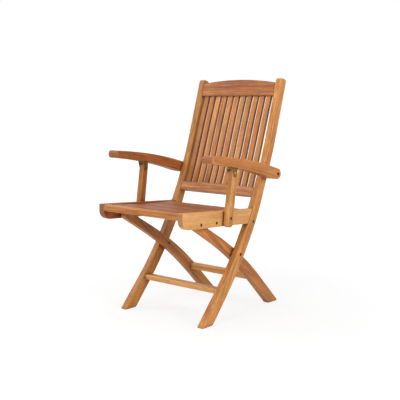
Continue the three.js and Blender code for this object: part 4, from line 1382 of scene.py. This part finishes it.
@dataclass
class BackFrame:
    """The stiles that run down into the front legs, with the rails and slats between them.

    Attributes:
        lower_width: Width of a stile below the taper.
        flare: How much further forward a foot reaches, eased off over flare_length.
        upper_width: Width of a stile above the taper.
        taper: Where the taper starts and ends, along the stile.
        wide_corner: Rounding of a stile's top, and of its foot at the rear.
        tight_corner: Rounding of its foot at the front.
        grain: Direction of a stile's grain, in degrees.
        slat_setback: Distance of the slats' faces behind the stiles' front edges.
        slat_straighter: How far the slats stand forward of the stiles' bend midway.
        slat_housed: Depth of the slats' ends in the rails.
        setback: Distance of the rails' faces behind the stiles' front edges.
        stretcher_place: Middle of the stretcher, up the stile and in from its front edge.
        stretcher_size: Its width from front to rear, and its height.
    """

    layout: Layout
    shop: Workshop
    bolts: Fasteners
    lower_width: float = 42.5
    flare: float = 4.0
    flare_length: float = 260.0
    upper_width: float = 33.0
    taper: tuple[float, float] = (440.0, 660.0)
    wide_corner: float = 9.0
    tight_corner: float = 3.2
    edge: float = 2.8
    grain: float = 63.0
    slat_pitch: float = 31.9
    slat_width: float = 21.0
    slat_thickness: float = 13.1
    slat_edge: float = 1.1
    slat_setback: float = 7.95
    slat_straighter: float = 6.0
    slat_housed: float = 6.0
    top: RailSizes = RailSizes(840.0, 53.8, 13.8, 22.0)
    low: RailSizes = RailSizes(455.0, 36.5, 0.0, 27.0)
    rail_edge: float = 2.6
    setback: float = 1.5
    stretcher_place: Point = (169.6, 21.5)
    stretcher_size: Point = (34.5, 19.5)
    stretcher_corner: float = 3.0

    def stile_outline(self) -> list[Point]:
        """Side outline of a stile, from the sole to the rounded top.

        Returns:
            The outline's points.
        """
        lay, steps = self.layout, 44
        slope = math.radians(lay.stile.first_angle)
        front = (lay.sole - self.flare * math.cos(slope)) / math.sin(slope)
        rear = (lay.sole + self.lower_width * math.cos(slope)) / math.sin(slope)
        length = lay.stile_length
        corners = []
        # Down the front edge from the top, then up the rear edge from the foot.
        for i in range(steps + 1):
            at = length + (front - length) * i / steps
            flare = eased(self.flare, 0.0, 0.0, self.flare_length, at)
            radius = {0: self.wide_corner, steps: self.tight_corner}.get(i, 0.0)
            corners.append((lay.on_stile(at, -flare), radius))
        for i in range(steps + 1):
            at = rear + (length - rear) * i / steps
            width = eased(self.lower_width, self.upper_width, *self.taper, at)
            radius = self.wide_corner if i in (0, steps) else 0.0
            corners.append((lay.on_stile(at, width), radius))
        return rounded(corners)

    def rail(self, node: str, sizes: RailSizes, slot: str, tone: Teak) -> None:
        """Makes one rail between the stiles, with an arched top edge where it has a rise.

        Args:
            node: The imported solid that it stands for.
            sizes: The rail's sizes.
            slot: The record's material slot.
            tone: Its wood.
        """
        lay, height = self.layout, sizes.height
        start = lay.stile.at(lay.stile_at(sizes.lift))
        foot = Heading(*start.beside(self.setback), start.angle)
        half = lay.stile_in
        points = [(-half, 0.0), (half, 0.0), (half, height)]
        if sizes.rise > 0:
            peak = (0.0, height + 2 * sizes.rise)
            points += curve_points((half, height), peak, (-half, height), 24)[1:-1]
        points.append((-half, height))
        blank = Blank(rounded(sharp(points)), 0.0, sizes.thickness, self.rail_edge, None, foot)
        self.shop.make(node, "board", [blank], "back_frame", slot, tone)

    def slat(self, number: int) -> None:
        """Makes one slat of the back, which follows the sweep of the stiles.

        Args:
            number: The slat's place from the sitter's right, from 0.
        """
        lay, steps = self.layout, 14
        start = lay.stile_at(self.low.lift) + self.low.height - self.slat_housed
        end = lay.stile_at(self.top.lift) + self.slat_housed
        front = self.slat_setback
        rear = front + self.slat_thickness
        places = [lay.stile.at(start + (end - start) * i / steps) for i in range(steps + 1)]
        # The slats are straighter than the stiles, so they stand further forward midway.
        forward = [self.slat_straighter * math.sin(math.pi * i / steps) for i in range(steps + 1)]
        both = list(zip(places, forward))
        points = [place.beside(rear - shift) for place, shift in both]
        points += [place.beside(front - shift) for place, shift in reversed(both)]
        middle = (number - (len(SLAT_TONES) - 1) / 2) * self.slat_pitch
        half = self.slat_width / 2
        grain = (places[0].angle + places[-1].angle) / 2
        outline = rounded(sharp(points))
        blank = Blank(outline, middle - half, middle + half, self.slat_edge, grain)
        node = f"back_slat_{number + 1:02d}"
        slot = "teak_rose" if number % 3 == 1 else "teak_tan"
        self.shop.make(node, "board", [blank], "back_frame", slot, SLAT_TONES[number])

    def build(self) -> None:
        """Makes the stiles, rails, slats and the front stretcher."""
        lay, bolts = self.layout, self.bolts
        # The far side's board takes the darker tone, which paints in the shade on that side.
        lit_and_shaded_woods = (("teak_orange", Teak.HONEY), ("teak_red", Teak.BRONZE))
        for (word, side), (slot, tone) in zip(SIDES, lit_and_shaded_woods):
            low, high = faces(side, lay.stile_in, lay.stile_out)
            blank = Blank(self.stile_outline(), low, high, self.edge, math.radians(self.grain))
            floor, mouth = lay.stile_in + bolts.depth, lay.stile_out + PAST
            cuts = [
                bolts.sunk(lay.cross, side, lay.stile_out, lay.stile_in - PAST),
                bolts.sunk(lay.link_eye, side, lay.stile_out, lay.stile_in - PAST),
                cutter(lay.arm_pivot, bolts.narrow, side, floor, mouth),
            ]
            self.shop.make(f"stile_{word}", "board", [blank], "back_frame", slot, tone, cuts)
        self.rail("top_rail", self.top, "teak_red", Teak.ROSE)
        self.rail("lower_back_rail", self.low, "teak_rose", Teak.CLAY)
        for number in range(len(SLAT_TONES)):
            self.slat(number)
        middle = lay.on_stile(*self.stretcher_place)
        outline = tilted_box(middle, *self.stretcher_size, 0.0, self.stretcher_corner)
        bar = Blank(outline, -lay.stile_in, lay.stile_in, END_ARRIS)
        self.shop.make("front_stretcher", "board", [bar], "back_frame", "teak_rose", Teak.SAND)


@dataclass
class RearLegs:
    """The bowed rear legs that cross the stiles, and the stretcher between them.

    Attributes:
        straight: Length of the straight run from the leg's pivot.
        radius: Radius of the bend that follows.
        bow: Angle between the straight run and the line from pivot to crossing, in degrees.
        bend: Turn of the bend, in degrees.
        grain: Direction of the grain, in degrees.
        stretcher_place: Middle of the stretcher, down the leg's middle line and beside it.
        stretcher_size: Its width from front to rear, and its height.
    """

    layout: Layout
    shop: Workshop
    bolts: Fasteners
    top_width: float = 33.0
    foot_width: float = 44.0
    foot_corner: float = 3.2
    edge: float = 2.6
    grain: float = -39.0
    straight: float = 137.0
    radius: float = 1419.0
    bow: float = 0.774
    bend: float = 13.7
    stretcher_place: Point = (454.2, -5.0)
    stretcher_size: Point = (25.0, 25.5)
    stretcher_corner: float = 3.0

    def __post_init__(self) -> None:
        """Works out the leg's middle line and where it meets the floor."""
        lay = self.layout
        top = math.degrees(heading(lay.leg_pivot, lay.cross)) + self.bow
        self.path = Sweep(lay.leg_pivot, top, top - self.bend, self.straight, self.radius)
        self.bend_end = self.straight + self.radius * math.radians(self.bend)
        self.foot_angle = math.radians(self.bend - top)
        drop = self.path.at(self.bend_end).z - lay.sole
        self.floor_at = self.bend_end + drop / math.sin(self.foot_angle)

    def leg_outline(self) -> list[Point]:
        """Side outline of a leg, round at the top and cut level at the foot.

        Returns:
            The outline's points.
        """
        steps = 36
        slant = self.foot_width / 2 / math.tan(self.foot_angle)
        edges = []
        for reach, sign in ((self.floor_at - slant, 1), (self.floor_at + slant, -1)):
            edge = []
            for i in range(steps + 1):
                at = reach * i / steps
                half = eased(self.top_width, self.foot_width, 0.0, self.bend_end, at) / 2
                radius = self.foot_corner if i == steps else 0.0
                edge.append((self.path.at(at).beside(sign * half), radius))
            edges.append(edge)
        start = math.radians(self.path.first_angle) + math.pi / 2
        cap = circle_points(self.path.start, self.top_width / 2, start, start + math.pi, 16)
        return rounded(edges[0] + edges[1][::-1] + sharp(cap[1:-1]))

    def build(self) -> None:
        """Makes both legs and the rear stretcher."""
        lay, bolts = self.layout, self.bolts
        # The far side's board takes the darker tone, which paints in the shade on that side.
        lit_and_shaded_woods = (("teak_orange", Teak.ORANGE), ("teak_brown", Teak.RUSSET))
        for (word, side), (slot, tone) in zip(SIDES, lit_and_shaded_woods):
            low, high = faces(side, lay.leg_in, lay.leg_out)
            blank = Blank(self.leg_outline(), low, high, self.edge, math.radians(self.grain))
            floor, mouth = lay.leg_in + bolts.depth, lay.leg_out + PAST
            cuts = [
                bolts.sunk(lay.cross, side, lay.leg_in, lay.leg_out + PAST),
                cutter(lay.leg_pivot, bolts.narrow, side, floor, mouth),
            ]
            self.shop.make(f"rear_leg_{word}", "board", [blank], "rear_legs", slot, tone, cuts)
        down, beside = self.stretcher_place
        middle = self.path.at(down).beside(beside)
        outline = tilted_box(middle, *self.stretcher_size, 0.0, self.stretcher_corner)
        bar = Blank(outline, -lay.leg_in, lay.leg_in, END_ARRIS)
        self.shop.make("rear_stretcher", "board", [bar], "rear_legs", "teak_rose", Teak.WHEAT)


@dataclass
class Seat:
    """The side rails with a bowed nose, the front slat and the dished run of slats.

    Attributes:
        nose: Height of a rail's upright front end.
        bow_reach: Length of the bow below it.
        front_depth: Depth of a rail behind the bow.
        rear_depth: Depth of a rail at its rear end.
        nose_corner: Rounding of a rail's top front corner.
        rear_corner: Rounding of its rear corners.
        grain: Direction of a rail's grain, in degrees.
        dish: How deep the slats' run is dished.
        set_in: Distance of the slats below the rails' top edges and behind their front ends.
        front_space: Space between the front slat and the dished run.
        rear_space: Space behind the dished run.
        front_slat: Depth and height of the front slat.
        front_corners: Its roundings, from the lower front corner round.
        housed: Depth of the slats' ends in the rails.
    """

    layout: Layout
    shop: Workshop
    bolts: Fasteners
    nose: float = 28.5
    bow_reach: float = 40.0
    front_depth: float = 59.0
    rear_depth: float = 54.0
    nose_corner: float = 3.2
    rear_corner: float = 1.5
    edge: float = 2.6
    grain: float = -3.4
    slat_count: int = 9
    slat_width: float = 30.5
    slat_thickness: float = 13.0
    slat_corner: float = 3.5
    dish: float = 5.0
    set_in: float = 1.0
    front_space: float = 12.0
    rear_space: float = 36.0
    front_slat: tuple[float, float] = (27.0, 26.0)
    front_corners: tuple[float, ...] = (6.0, 3.5, 3.5, 8.0)
    housed: float = 2.0

    def rail_outline(self) -> list[Point]:
        """Side outline of a seat rail.

        Returns:
            The outline's points.
        """
        lay, steps = self.layout, 14
        high = lay.rail_end()
        low_z = high[1] - self.rear_depth
        low = lay.stile.at(lay.stile_at(low_z))
        bow_end = lay.on_rail(self.bow_reach, self.front_depth)
        start = lay.seat_height - self.nose
        corners: list[Corner] = []
        for i in range(steps + 1):
            turn = math.pi / 2 * i / steps
            y = bow_end[0] - self.bow_reach * math.cos(turn)
            corners.append(((y, start - (start - bow_end[1]) * math.sin(turn)), 0.0))
        corners.append(((low.y - lay.rail_clear, low_z), self.rear_corner))
        corners.append((high, self.rear_corner))
        corners.append(((-lay.overhang, lay.seat_height), self.nose_corner))
        return rounded(corners)

    def slat_place(self, number: int) -> Heading:
        """Middle and tilt of one slat on the dish.

        Args:
            number: The slat's place from the front, from 0.

        Returns:
            The slat's middle in the side view, with its slope as the angle.
        """
        lay = self.layout
        first = self.set_in + self.front_slat[0] + self.front_space - lay.overhang
        last = lay.rail_end()[0] - self.rear_space
        share = (number + 0.5) / self.slat_count
        y = first + (last - first) * share
        across = 2 * share - 1
        top = lay.rail_top(y) - self.set_in - self.dish * (1 - across * across)
        tilt = math.atan(lay.rail_slope + 4 * self.dish * across / (last - first))
        half = self.slat_thickness / 2
        return Heading(y + half * math.sin(tilt), top - half * math.cos(tilt), tilt)

    def slats(self) -> None:
        """Makes the dished run of slats and the front slat."""
        lay = self.layout
        reach = lay.rail_in + self.housed
        for number in range(self.slat_count):
            place = self.slat_place(number)
            size = (self.slat_width, self.slat_thickness)
            outline = tilted_box((place.y, place.z), *size, place.angle, self.slat_corner)
            blank = Blank(outline, -reach, reach, END_ARRIS)
            tone = (Teak.BROWN, Teak.UMBER, Teak.RED)[(number * 2 + 1) % 3]
            slot = "teak_red" if number % 2 else "teak_brown"
            self.shop.make(f"seat_slat_{number + 1}", "board", [blank], "seat", slot, tone)
        depth, height = self.front_slat
        front, top = self.set_in - lay.overhang, lay.seat_height - self.set_in
        foot, fall = top - height, depth * lay.rail_slope
        points = [(front, foot), (front + depth, foot), (front + depth, top + fall), (front, top)]
        outline = rounded(zip(points, self.front_corners))
        bar = Blank(outline, -reach, reach, END_ARRIS)
        self.shop.make("seat_front_slat", "board", [bar], "seat", "teak_orange", Teak.ORANGE)

    def build(self) -> None:
        """Makes the rails and all the slats."""
        lay, bolts = self.layout, self.bolts
        # The far side's rail takes the darker tone, which paints in the shade on that side.
        for (word, side), tone in zip(SIDES, (Teak.SAND, Teak.RED)):
            low, high = faces(side, lay.rail_in, lay.rail_out)
            blank = Blank(self.rail_outline(), low, high, self.edge, math.radians(self.grain))
            pivots = (lay.leg_pivot, lay.seat_link)
            cuts = [bolts.sunk(at, side, lay.rail_out, lay.rail_in - PAST) for at in pivots]
            self.shop.make(f"seat_rail_{word}", "board", [blank], "seat", "teak_tan", tone, cuts)
        self.slats()


@dataclass
class SeatLinks:
    """Flat brass links between the seat rails and the stiles."""

    layout: Layout
    shop: Workshop
    bolts: Fasteners
    half_width: float = 8.5
    edge: float = 0.4

    def build(self) -> None:
        """Makes both links."""
        lay = self.layout
        along, quarter = heading(lay.seat_link, lay.link_eye), math.pi / 2
        eyes = ((lay.link_eye, along), (lay.seat_link, along + math.pi))
        points: list[Point] = []
        for eye, out in eyes:
            points += circle_points(eye, self.half_width, out - quarter, out + quarter, 18)
        for word, side in SIDES:
            low, high = faces(side, lay.link_in, lay.link_out)
            blank = Blank(rounded(sharp(points)), low, high, self.edge, along)
            start, end = lay.link_in - MOUTH, lay.link_out + MOUTH
            pivots = (lay.seat_link, lay.link_eye)
            cuts = [cutter(at, self.bolts.narrow, side, start, end) for at in pivots]
            node, body = f"seat_link_{word}", f"link_{word}"
            self.shop.make(node, "bar", [blank], body, "aged_brass", Brass.OLIVE, cuts)


@dataclass
class Arms:
    """The arms with their brackets, and the posts that lean between bracket and seat rail.

    Places on an arm are given forward of its pivot and above it.

    Attributes:
        nose_reach: How far forward the nose's tip is.
        nose_rise: How high the nose's top is.
        nose_corner: Rounding of the nose's upper and lower corners.
        nose_round: How much further the rounding runs along both faces.
        plan_corners: Rounding of the nose in plan, at the inner and the outer corner.
        top_bend: Where the top edge's curve is drawn towards.
        under_bend: Where the lower edge's curve is drawn towards.
        belly: Rear end of the lower edge's curve.
        end_radius: Radius of the round rear end.
        tail: Where the round end starts and stops, in degrees.
        bracket_drop: Distance of the bracket's pivot under the arm.
        skirt: How far the bracket's ears are full width.
        tip_radius: Radius of the ears' round tips.
        tip_drop: Distance of the tips' centre below the pivot.
        plate: Thickness of the bracket's plate.
        lip: Height of the lip at the plate's front.
        lip_setback: Distance of the lip's middle behind the plate's front edge.
        lip_inset: Space beside each end of the lip.
        post_set: How far the post's head is to the rear of its middle line.
        post_foot: Length of the post beyond its lower pivot.
        post_head: Length of the post beyond its upper pivot.
        post_corners: Rounding of the post's head at the rear and at the front.
        rivet_head: Radius and height of each step of a rivet's head.
    """

    layout: Layout
    shop: Workshop
    bolts: Fasteners
    nose_reach: float = 396.5
    nose_rise: float = 88.2
    nose_depth: float = 29.0
    nose_corner: float = 9.0
    nose_round: float = 5.0
    plan_corners: tuple[float, float] = (6.0, 12.0)
    top_bend: Point = (176.0, 73.5)
    under_bend: Point = (197.3, 37.8)
    belly: Point = (40.0, -12.5)
    end_radius: float = 20.7
    tail: tuple[float, float] = (-97.0, 73.0)
    edge: float = 4.2
    edge_steps: int = 4
    grain: float = -13.0
    bracket_reach: float = 236.8
    bracket_drop: float = 18.986
    bracket_width: float = 27.0
    skirt: float = 5.0
    skirt_corner: float = 3.0
    ear_edge: float = 0.5
    tip_radius: float = 8.2
    tip_drop: float = 6.5
    plate: float = 2.0
    plate_corner: float = 0.5
    plate_edge: float = 0.4
    lip: float = 7.5
    lip_thickness: float = 1.0
    lip_setback: float = 0.7
    lip_inset: float = 0.5
    lip_corner: float = 0.3
    lip_edge: float = 0.25
    post_top: float = 26.0
    post_bottom: float = 30.0
    post_set: float = 3.0
    post_foot: float = 18.0
    post_head: float = 9.5
    post_corners: tuple[float, float] = (6.0, 3.0)
    post_edge: float = 2.6
    post_grain: float = 83.0
    rivet: float = 3.0
    rivet_gap: float = 0.3
    rivet_head: tuple[Point, ...] = ((4.2, 0.0), (4.2, 0.6), (3.6, 1.2), (2.1, 1.6), (0.0, 1.6))

    def on_arm(self, reach: float, rise: float) -> Point:
        """A point forward of the arm's pivot and above it."""
        return (self.layout.arm_pivot[0] - reach, self.layout.arm_pivot[1] + rise)

    def __post_init__(self) -> None:
        """Works out where the bracket sits under the arm."""
        nose = self.on_arm(self.nose_reach, self.nose_rise)
        heel = (nose[0] + self.nose_corner, nose[1] - self.nose_depth)
        self.under = (heel, self.on_arm(*self.under_bend), self.on_arm(*self.belly))
        a, b, c = self.under
        target = self.layout.arm_pivot[0] - self.bracket_reach
        t, high = 0.0, 1.0
        for _ in range(40):
            middle = (t + high) / 2
            t, high = (middle, high) if curve_at(a, b, c, middle)[0] < target else (t, middle)
        z = curve_at(a, b, c, t)[1]
        dy = (1 - t) * (b[0] - a[0]) + t * (c[0] - b[0])
        dz = (1 - t) * (b[1] - a[1]) + t * (c[1] - b[1])
        self.bracket_seat = Heading(target, z, math.atan2(dz, dy))
        self.bracket_pivot = (target, z - self.bracket_drop)

    def arm_outline(self) -> list[Point]:
        """Side outline of an arm: a low arch with a round rear end.

        Returns:
            The outline's points.
        """
        nose = self.on_arm(self.nose_reach, self.nose_rise)
        heel, bend, belly = self.under
        hump = self.on_arm(*self.top_bend)
        corner = self.nose_corner + self.nose_round
        below, above = (nose[0], heel[1]), (nose[0] + self.nose_corner, nose[1])
        lower = Heading(*heel, heading(heel, bend)).frame(self.nose_round, 0.0)
        upper = Heading(*above, heading(above, hump)).frame(self.nose_round, 0.0)
        first, last = (math.radians(angle) for angle in self.tail)
        points = curve_points((nose[0], heel[1] + corner), below, lower, 8)
        points += curve_points(heel, bend, belly, 20)[1:]
        points += circle_points(self.layout.arm_pivot, self.end_radius, first, last, 18)
        points += curve_points(points[-1], hump, above, 28)[1:-1]
        points += curve_points(upper, nose, (nose[0], nose[1] - corner), 8)
        return rounded(sharp(points))

    def post_outline(self) -> list[Point]:
        """Side outline of a post, round at the foot.

        Returns:
            The outline's points.
        """
        pivot = self.layout.post_pivot
        angle = heading(pivot, self.bracket_pivot)
        base = Heading(*pivot, angle).frame(-self.post_foot, 0.0)
        head = Heading(*Heading(*self.bracket_pivot, angle).frame(self.post_head, 0.0), angle)
        left = angle + math.pi / 2
        arc = circle_points(base, self.post_bottom / 2, left, angle + 3 * math.pi / 2, 18)
        rear, front = self.post_set + self.post_top / 2, self.post_set - self.post_top / 2
        ends = zip((head.beside(rear), head.beside(front)), self.post_corners)
        return rounded(sharp(arc) + list(ends))

    def ear_outline(self) -> list[Point]:
        """Outline of one ear of the bracket.

        Returns:
            The outline's points.
        """
        half, seat = self.bracket_width / 2, self.bracket_seat
        tip = (self.bracket_pivot[0], self.bracket_pivot[1] - self.tip_drop)
        arc = circle_points(tip, self.tip_radius, seat.angle - math.pi, seat.angle, 16)
        skirts = [(seat.frame(x, -self.skirt), self.skirt_corner) for x in (-half, half)]
        tops = sharp(seat.frame(x, self.plate) for x in (-half, half))
        return rounded([tops[0], skirts[0]] + sharp(arc) + [skirts[1], tops[1]])

    def arm(self, word: str, side: int) -> None:
        """Makes one arm.

        Args:
            word: The side's name.
            side: 1 or -1, the side of the chair.
        """
        lay, bolts = self.layout, self.bolts
        low, high = faces(side, lay.arm_in, lay.arm_out)
        mouth, end = lay.arm_out + MOUTH, lay.arm_in - PAST
        floor = lay.arm_out - bolts.arm_depth - bolts.slack
        hole = stepped(lay.arm_pivot, side, bolts.arm_bore, bolts.narrow, mouth, floor, end)
        nose = NoseCorners(self.on_arm(self.nose_reach, 0.0)[0], *self.plan_corners[::side])
        grain, outline = math.radians(self.grain), self.arm_outline()
        blank = Blank(outline, low, high, self.edge, grain, None, self.edge_steps, nose)
        # The far side's arm takes the darker tone, which paints in the shade on that side.
        slot, tone = ("teak_orange", Teak.AMBER) if side > 0 else ("teak_brown", Teak.RED)
        self.shop.make(f"arm_{word}", "board", [blank], f"arm_{word}", slot, tone, [hole])

    def post(self, word: str, side: int) -> None:
        """Makes one post.

        Args:
            word: The side's name.
            side: 1 or -1, the side of the chair.
        """
        lay, bolts = self.layout, self.bolts
        low, high = faces(side, lay.post_in, lay.post_out)
        start, end = lay.post_in - PAST, lay.post_out + PAST
        cuts = [
            bolts.sunk(lay.post_pivot, side, lay.post_out, start),
            cutter(self.bracket_pivot, bolts.narrow, side, start, end),
        ]
        grain = math.radians(self.post_grain)
        blank = Blank(self.post_outline(), low, high, self.post_edge, grain)
        # The far side's post takes the darker tone, which paints in the shade on that side.
        tone = Teak.WHEAT if side > 0 else Teak.RUSSET
        self.shop.make(f"arm_post_{word}", "board", [blank], f"post_{word}", "teak_tan", tone, cuts)

    def bracket(self, word: str, side: int) -> None:
        """Makes one bracket of folded sheet: a plate under the arm, two ears and a lip.

        Args:
            word: The side's name.
            side: 1 or -1, the side of the chair.
        """
        lay, seat, width = self.layout, self.bracket_seat, self.bracket_width
        inner_ear = faces(side, lay.ear_in, lay.post_in - lay.ear_gap)
        outer_ear = faces(side, lay.post_out + lay.ear_gap, lay.ear_out)
        outline, ears = self.ear_outline(), (inner_ear, outer_ear)
        parts = [Blank(outline, *ear, self.ear_edge, seat.angle) for ear in ears]
        low, high = faces(side, lay.ear_in, lay.ear_out)
        middle = (seat.y, seat.z + self.plate / 2)
        plate = tilted_box(middle, width, self.plate, seat.angle, self.plate_corner)
        parts.append(Blank(plate, low, high, self.plate_edge, seat.angle))
        # A lip turned down at the front closes the bracket in, clear of the post's swing.
        at = seat.frame(self.lip_setback - width / 2, -self.lip / 2)
        lip = tilted_box(at, self.lip_thickness, self.lip, seat.angle, self.lip_corner)
        low, high = low + self.lip_inset, high - self.lip_inset
        parts.append(Blank(lip, low, high, self.lip_edge, seat.angle))
        node, body = f"arm_bracket_{word}", f"arm_{word}"
        self.shop.make(node, "sheet", parts, body, "aged_brass", Brass.OLIVE)

    def rivet_through(self, word: str, side: int) -> None:
        """Makes the rivet through a bracket's ears and the post.

        Args:
            word: The side's name.
            side: 1 or -1, the side of the chair.
        """
        start, rim = self.layout.ear_in + self.rivet_gap, self.layout.ear_out + self.rivet_gap
        profile = [(0, start), (self.rivet, start), (self.rivet, rim)]
        profile += [(radius, rim + rise) for radius, rise in self.rivet_head]
        turning = Turning(self.bracket_pivot, profile, side)
        node, body = f"bracket_rivet_{word}", f"arm_{word}"
        self.shop.make(node, "turned", [turning], body, "aged_brass", Brass.GOLDEN)

    def build(self) -> None:
        """Makes the arm, post, bracket and rivet of each side."""
        for word, side in SIDES:
            self.arm(word, side)
            self.post(word, side)
            self.bracket(word, side)
            self.rivet_through(word, side)


@dataclass
class Glides:
    """Nylon glides under the four feet.

    Attributes:
        pocket: Depth of a glide in the leg's sole.
        rim: Rounding of a glide's lower edge.
        foot_middle: Middle of a front leg's foot, in from the line of its front edge.
    """

    layout: Layout
    shop: Workshop
    legs: RearLegs
    radius: float = 9.0
    pocket: float = 3.0
    rim: float = 1.0
    foot_middle: float = 19.25

    def build(self) -> None:
        """Makes the four glides."""
        lay, legs = self.layout, self.legs
        toe = self.foot_middle / math.sin(math.radians(lay.stile.first_angle))
        heel = legs.path.at(legs.floor_at).y
        front = ((toe, 0.0), (lay.stile_in + lay.stile_out) / 2, "front", "back_frame")
        rear = ((heel, 0.0), (lay.leg_in + lay.leg_out) / 2, "rear", "rear_legs")
        top, bend = lay.sole + self.pocket, 0.3 * self.rim
        profile = [(0, 0.0), (self.radius - self.rim, 0.0), (self.radius - bend, bend)]
        profile += [(self.radius, self.rim), (self.radius, top), (0, top)]
        for centre, across, end, body in (front, rear):
            for word, side in SIDES:
                turning = Turning(centre, profile, side, upright=True, across=across)
                node = f"{end}_glide_{word}"
                self.shop.make(node, "moulded", [turning], body, "black_plastic", Nylon.BLACK)


@dataclass
class Studio:
    """A plain pale floor, soft lamps and a camera at the photograph's angle.

    Attributes:
        azimuth: The camera's turn round the chair, in degrees.
        elevation: How far it looks down, in degrees.
        camera_place: Where it stands, in metres, with y from the toe of the front legs.
        lens: Its focal length in millimetres.
        aim: Height, in metres, that the lamps face.
        surround: Strength of the even light from all round.
        near_white: How far the floor gives way to white beside the chair.
        glow: Strength of that white.
    """

    azimuth: float = 40.58
    elevation: float = 7.32
    camera_place: tuple[float, float, float] = (1.9328, -2.0233, 0.8122)
    lens: float = 68.47
    aim: float = 0.45
    surround: float = 0.2
    near_white: float = 0.72
    glow: float = 1.12

    def camera(self, shift: float) -> None:
        """Places the camera, which looks slightly down with no roll.

        Args:
            shift: Distance in millimetres from the toe of the front legs to the chair's middle.
        """
        data = bpy.data.cameras.new("view")
        data.lens = self.lens
        data.sensor_width = 36.0
        data.clip_end = 50.0
        camera = bpy.data.objects.new("view", data)
        bpy.context.scene.collection.objects.link(camera)
        x, y, z = self.camera_place
        camera.location = (x, y - shift * MM, z)
        camera.rotation_euler = (math.radians(90 - self.elevation), 0.0, math.radians(self.azimuth))
        bpy.context.scene.camera = camera

    def lamp(self, name: str, place: tuple[float, float, float], size: float, power: float) -> None:
        """Places a square soft lamp that faces the chair.

        Args:
            name: The lamp's name.
            place: Where it stands, in metres.
            size: Its width in metres.
            power: Its power in watts.
        """
        data = bpy.data.lights.new(name, "AREA")
        data.size = size
        data.energy = power
        lamp = bpy.data.objects.new(name, data)
        bpy.context.scene.collection.objects.link(lamp)
        lamp.location = place
        towards = Vector((0, 0, self.aim)) - Vector(place)
        lamp.rotation_euler = towards.to_track_quat("-Z", "Y").to_euler()
        lamp.visible_camera = False

    def seen(self, tree: Tree) -> Plug:
        """Tells rays that see the surround from rays that light the chair.

        Args:
            tree: The tree that takes the nodes.

        Returns:
            1 for rays from the camera, off metal or through glass, and 0 for all others.
        """
        path = add(tree, "LightPath").outputs
        rays = {0: path["Is Camera Ray"], 1: path["Is Glossy Ray"]}
        direct = add(tree, "Math", rays, operation="MAXIMUM").outputs[0]
        rays = {0: direct, 1: path["Is Transmission Ray"]}
        return add(tree, "Math", rays, operation="MAXIMUM").outputs[0]

    def world(self) -> None:
        """A white surround: even light on the chair, plain white to the camera and in metal."""
        world = bpy.data.worlds.new("surround")
        bpy.context.scene.world = world
        world.use_nodes = True
        tree = world.node_tree
        tree.nodes.clear()
        span = {"Value": self.seen(tree), "To Min": self.surround, "To Max": 1.0}
        level = add(tree, "MapRange", span).outputs[0]
        light = add(tree, "Background", {"Color": (1, 1, 1, 1), "Strength": level})
        add(tree, "OutputWorld", {"Surface": light.outputs[0]})

    def floor(self) -> None:
        """A painted white floor that runs out of sight and keeps the chair's soft shadow.

        Seen directly or in a reflection, the paint gives way to plain white, a little near the
        chair and wholly further out, so that the floor has no edge and no tint.
        """
        mesh = bpy.data.meshes.new("floor")
        work = bmesh.new()
        bmesh.ops.create_grid(work, x_segments=1, y_segments=1, size=14.0)
        work.to_mesh(mesh)
        work.free()
        floor = bpy.data.objects.new("floor", mesh)
        bpy.context.scene.collection.objects.link(floor)
        material, tree = fresh("matt_white_paint")
        place = add(tree, "TexCoord").outputs["Object"]
        mottle = add(tree, "TexNoise", {"Vector": place, "Scale": 3.0}).outputs["Fac"]
        pair = {0: mottle, 6: linear("#F2F2F2"), 7: linear("#F6F6F6")}
        tone = add(tree, "Mix", pair, data_type="RGBA").outputs[2]
        paint = add(tree, "BsdfDiffuse", {"Color": tone}).outputs[0]
        away = add(tree, "VectorMath", {0: place}, operation="LENGTH").outputs["Value"]
        span = {"Value": away, "From Min": 0.55, "From Max": 1.7, "To Min": self.near_white}
        white = add(tree, "MapRange", span, interpolation_type="SMOOTHSTEP").outputs[0]
        share = add(tree, "Math", {0: self.seen(tree), 1: white}, operation="MULTIPLY")
        glow = add(tree, "Emission", {"Color": (1, 1, 1, 1), "Strength": self.glow})
        sides = {0: share.outputs[0], 1: paint, 2: glow.outputs[0]}
        both = add(tree, "MixShader", sides).outputs[0]
        add(tree, "OutputMaterial", {"Surface": both})
        mesh.materials.append(material)

    def build(self, shift: float) -> None:
        """Sets up the camera, lamps, surround and floor.

        Args:
            shift: Distance in millimetres from the toe of the front legs to the chair's middle.
        """
        self.camera(shift)
        self.lamp("front_box", (0.4, -3.2, 1.2), 1.2, 33.0)
        self.lamp("left_box", (-2.4, -0.6, 1.6), 1.5, 28.0)
        self.lamp("right_box", (3.2, -0.2, 1.4), 1.2, 46.0)
        self.lamp("top_box", (0.0, -0.2, 2.8), 1.6, 18.0)
        self.world()
        self.floor()
        bpy.context.scene.view_settings.view_transform = "Standard"
        LOG.info("studio ready")


def main() -> None:
    """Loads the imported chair, builds every piece in order and sets the studio round it."""
    logging.basicConfig(level=logging.INFO, format="%(name)s: %(message)s")
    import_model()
    layout = Layout()
    low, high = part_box("cross_bolt_left")
    shift = layout.cross[0] - (low[1] + high[1]) / 2 / MM
    shop = Workshop(shift)
    bolts = Fasteners(layout, shop)
    legs = RearLegs(layout, shop, bolts)
    BackFrame(layout, shop, bolts).build()
    legs.build()
    Seat(layout, shop, bolts).build()
    SeatLinks(layout, shop, bolts).build()
    Arms(layout, shop, bolts).build()
    bolts.build()
    Glides(layout, shop, legs).build()
    Studio().build(shift)
    LOG.info("%d pieces dressed", shop.count)


if __name__ == "__main__":
    main()
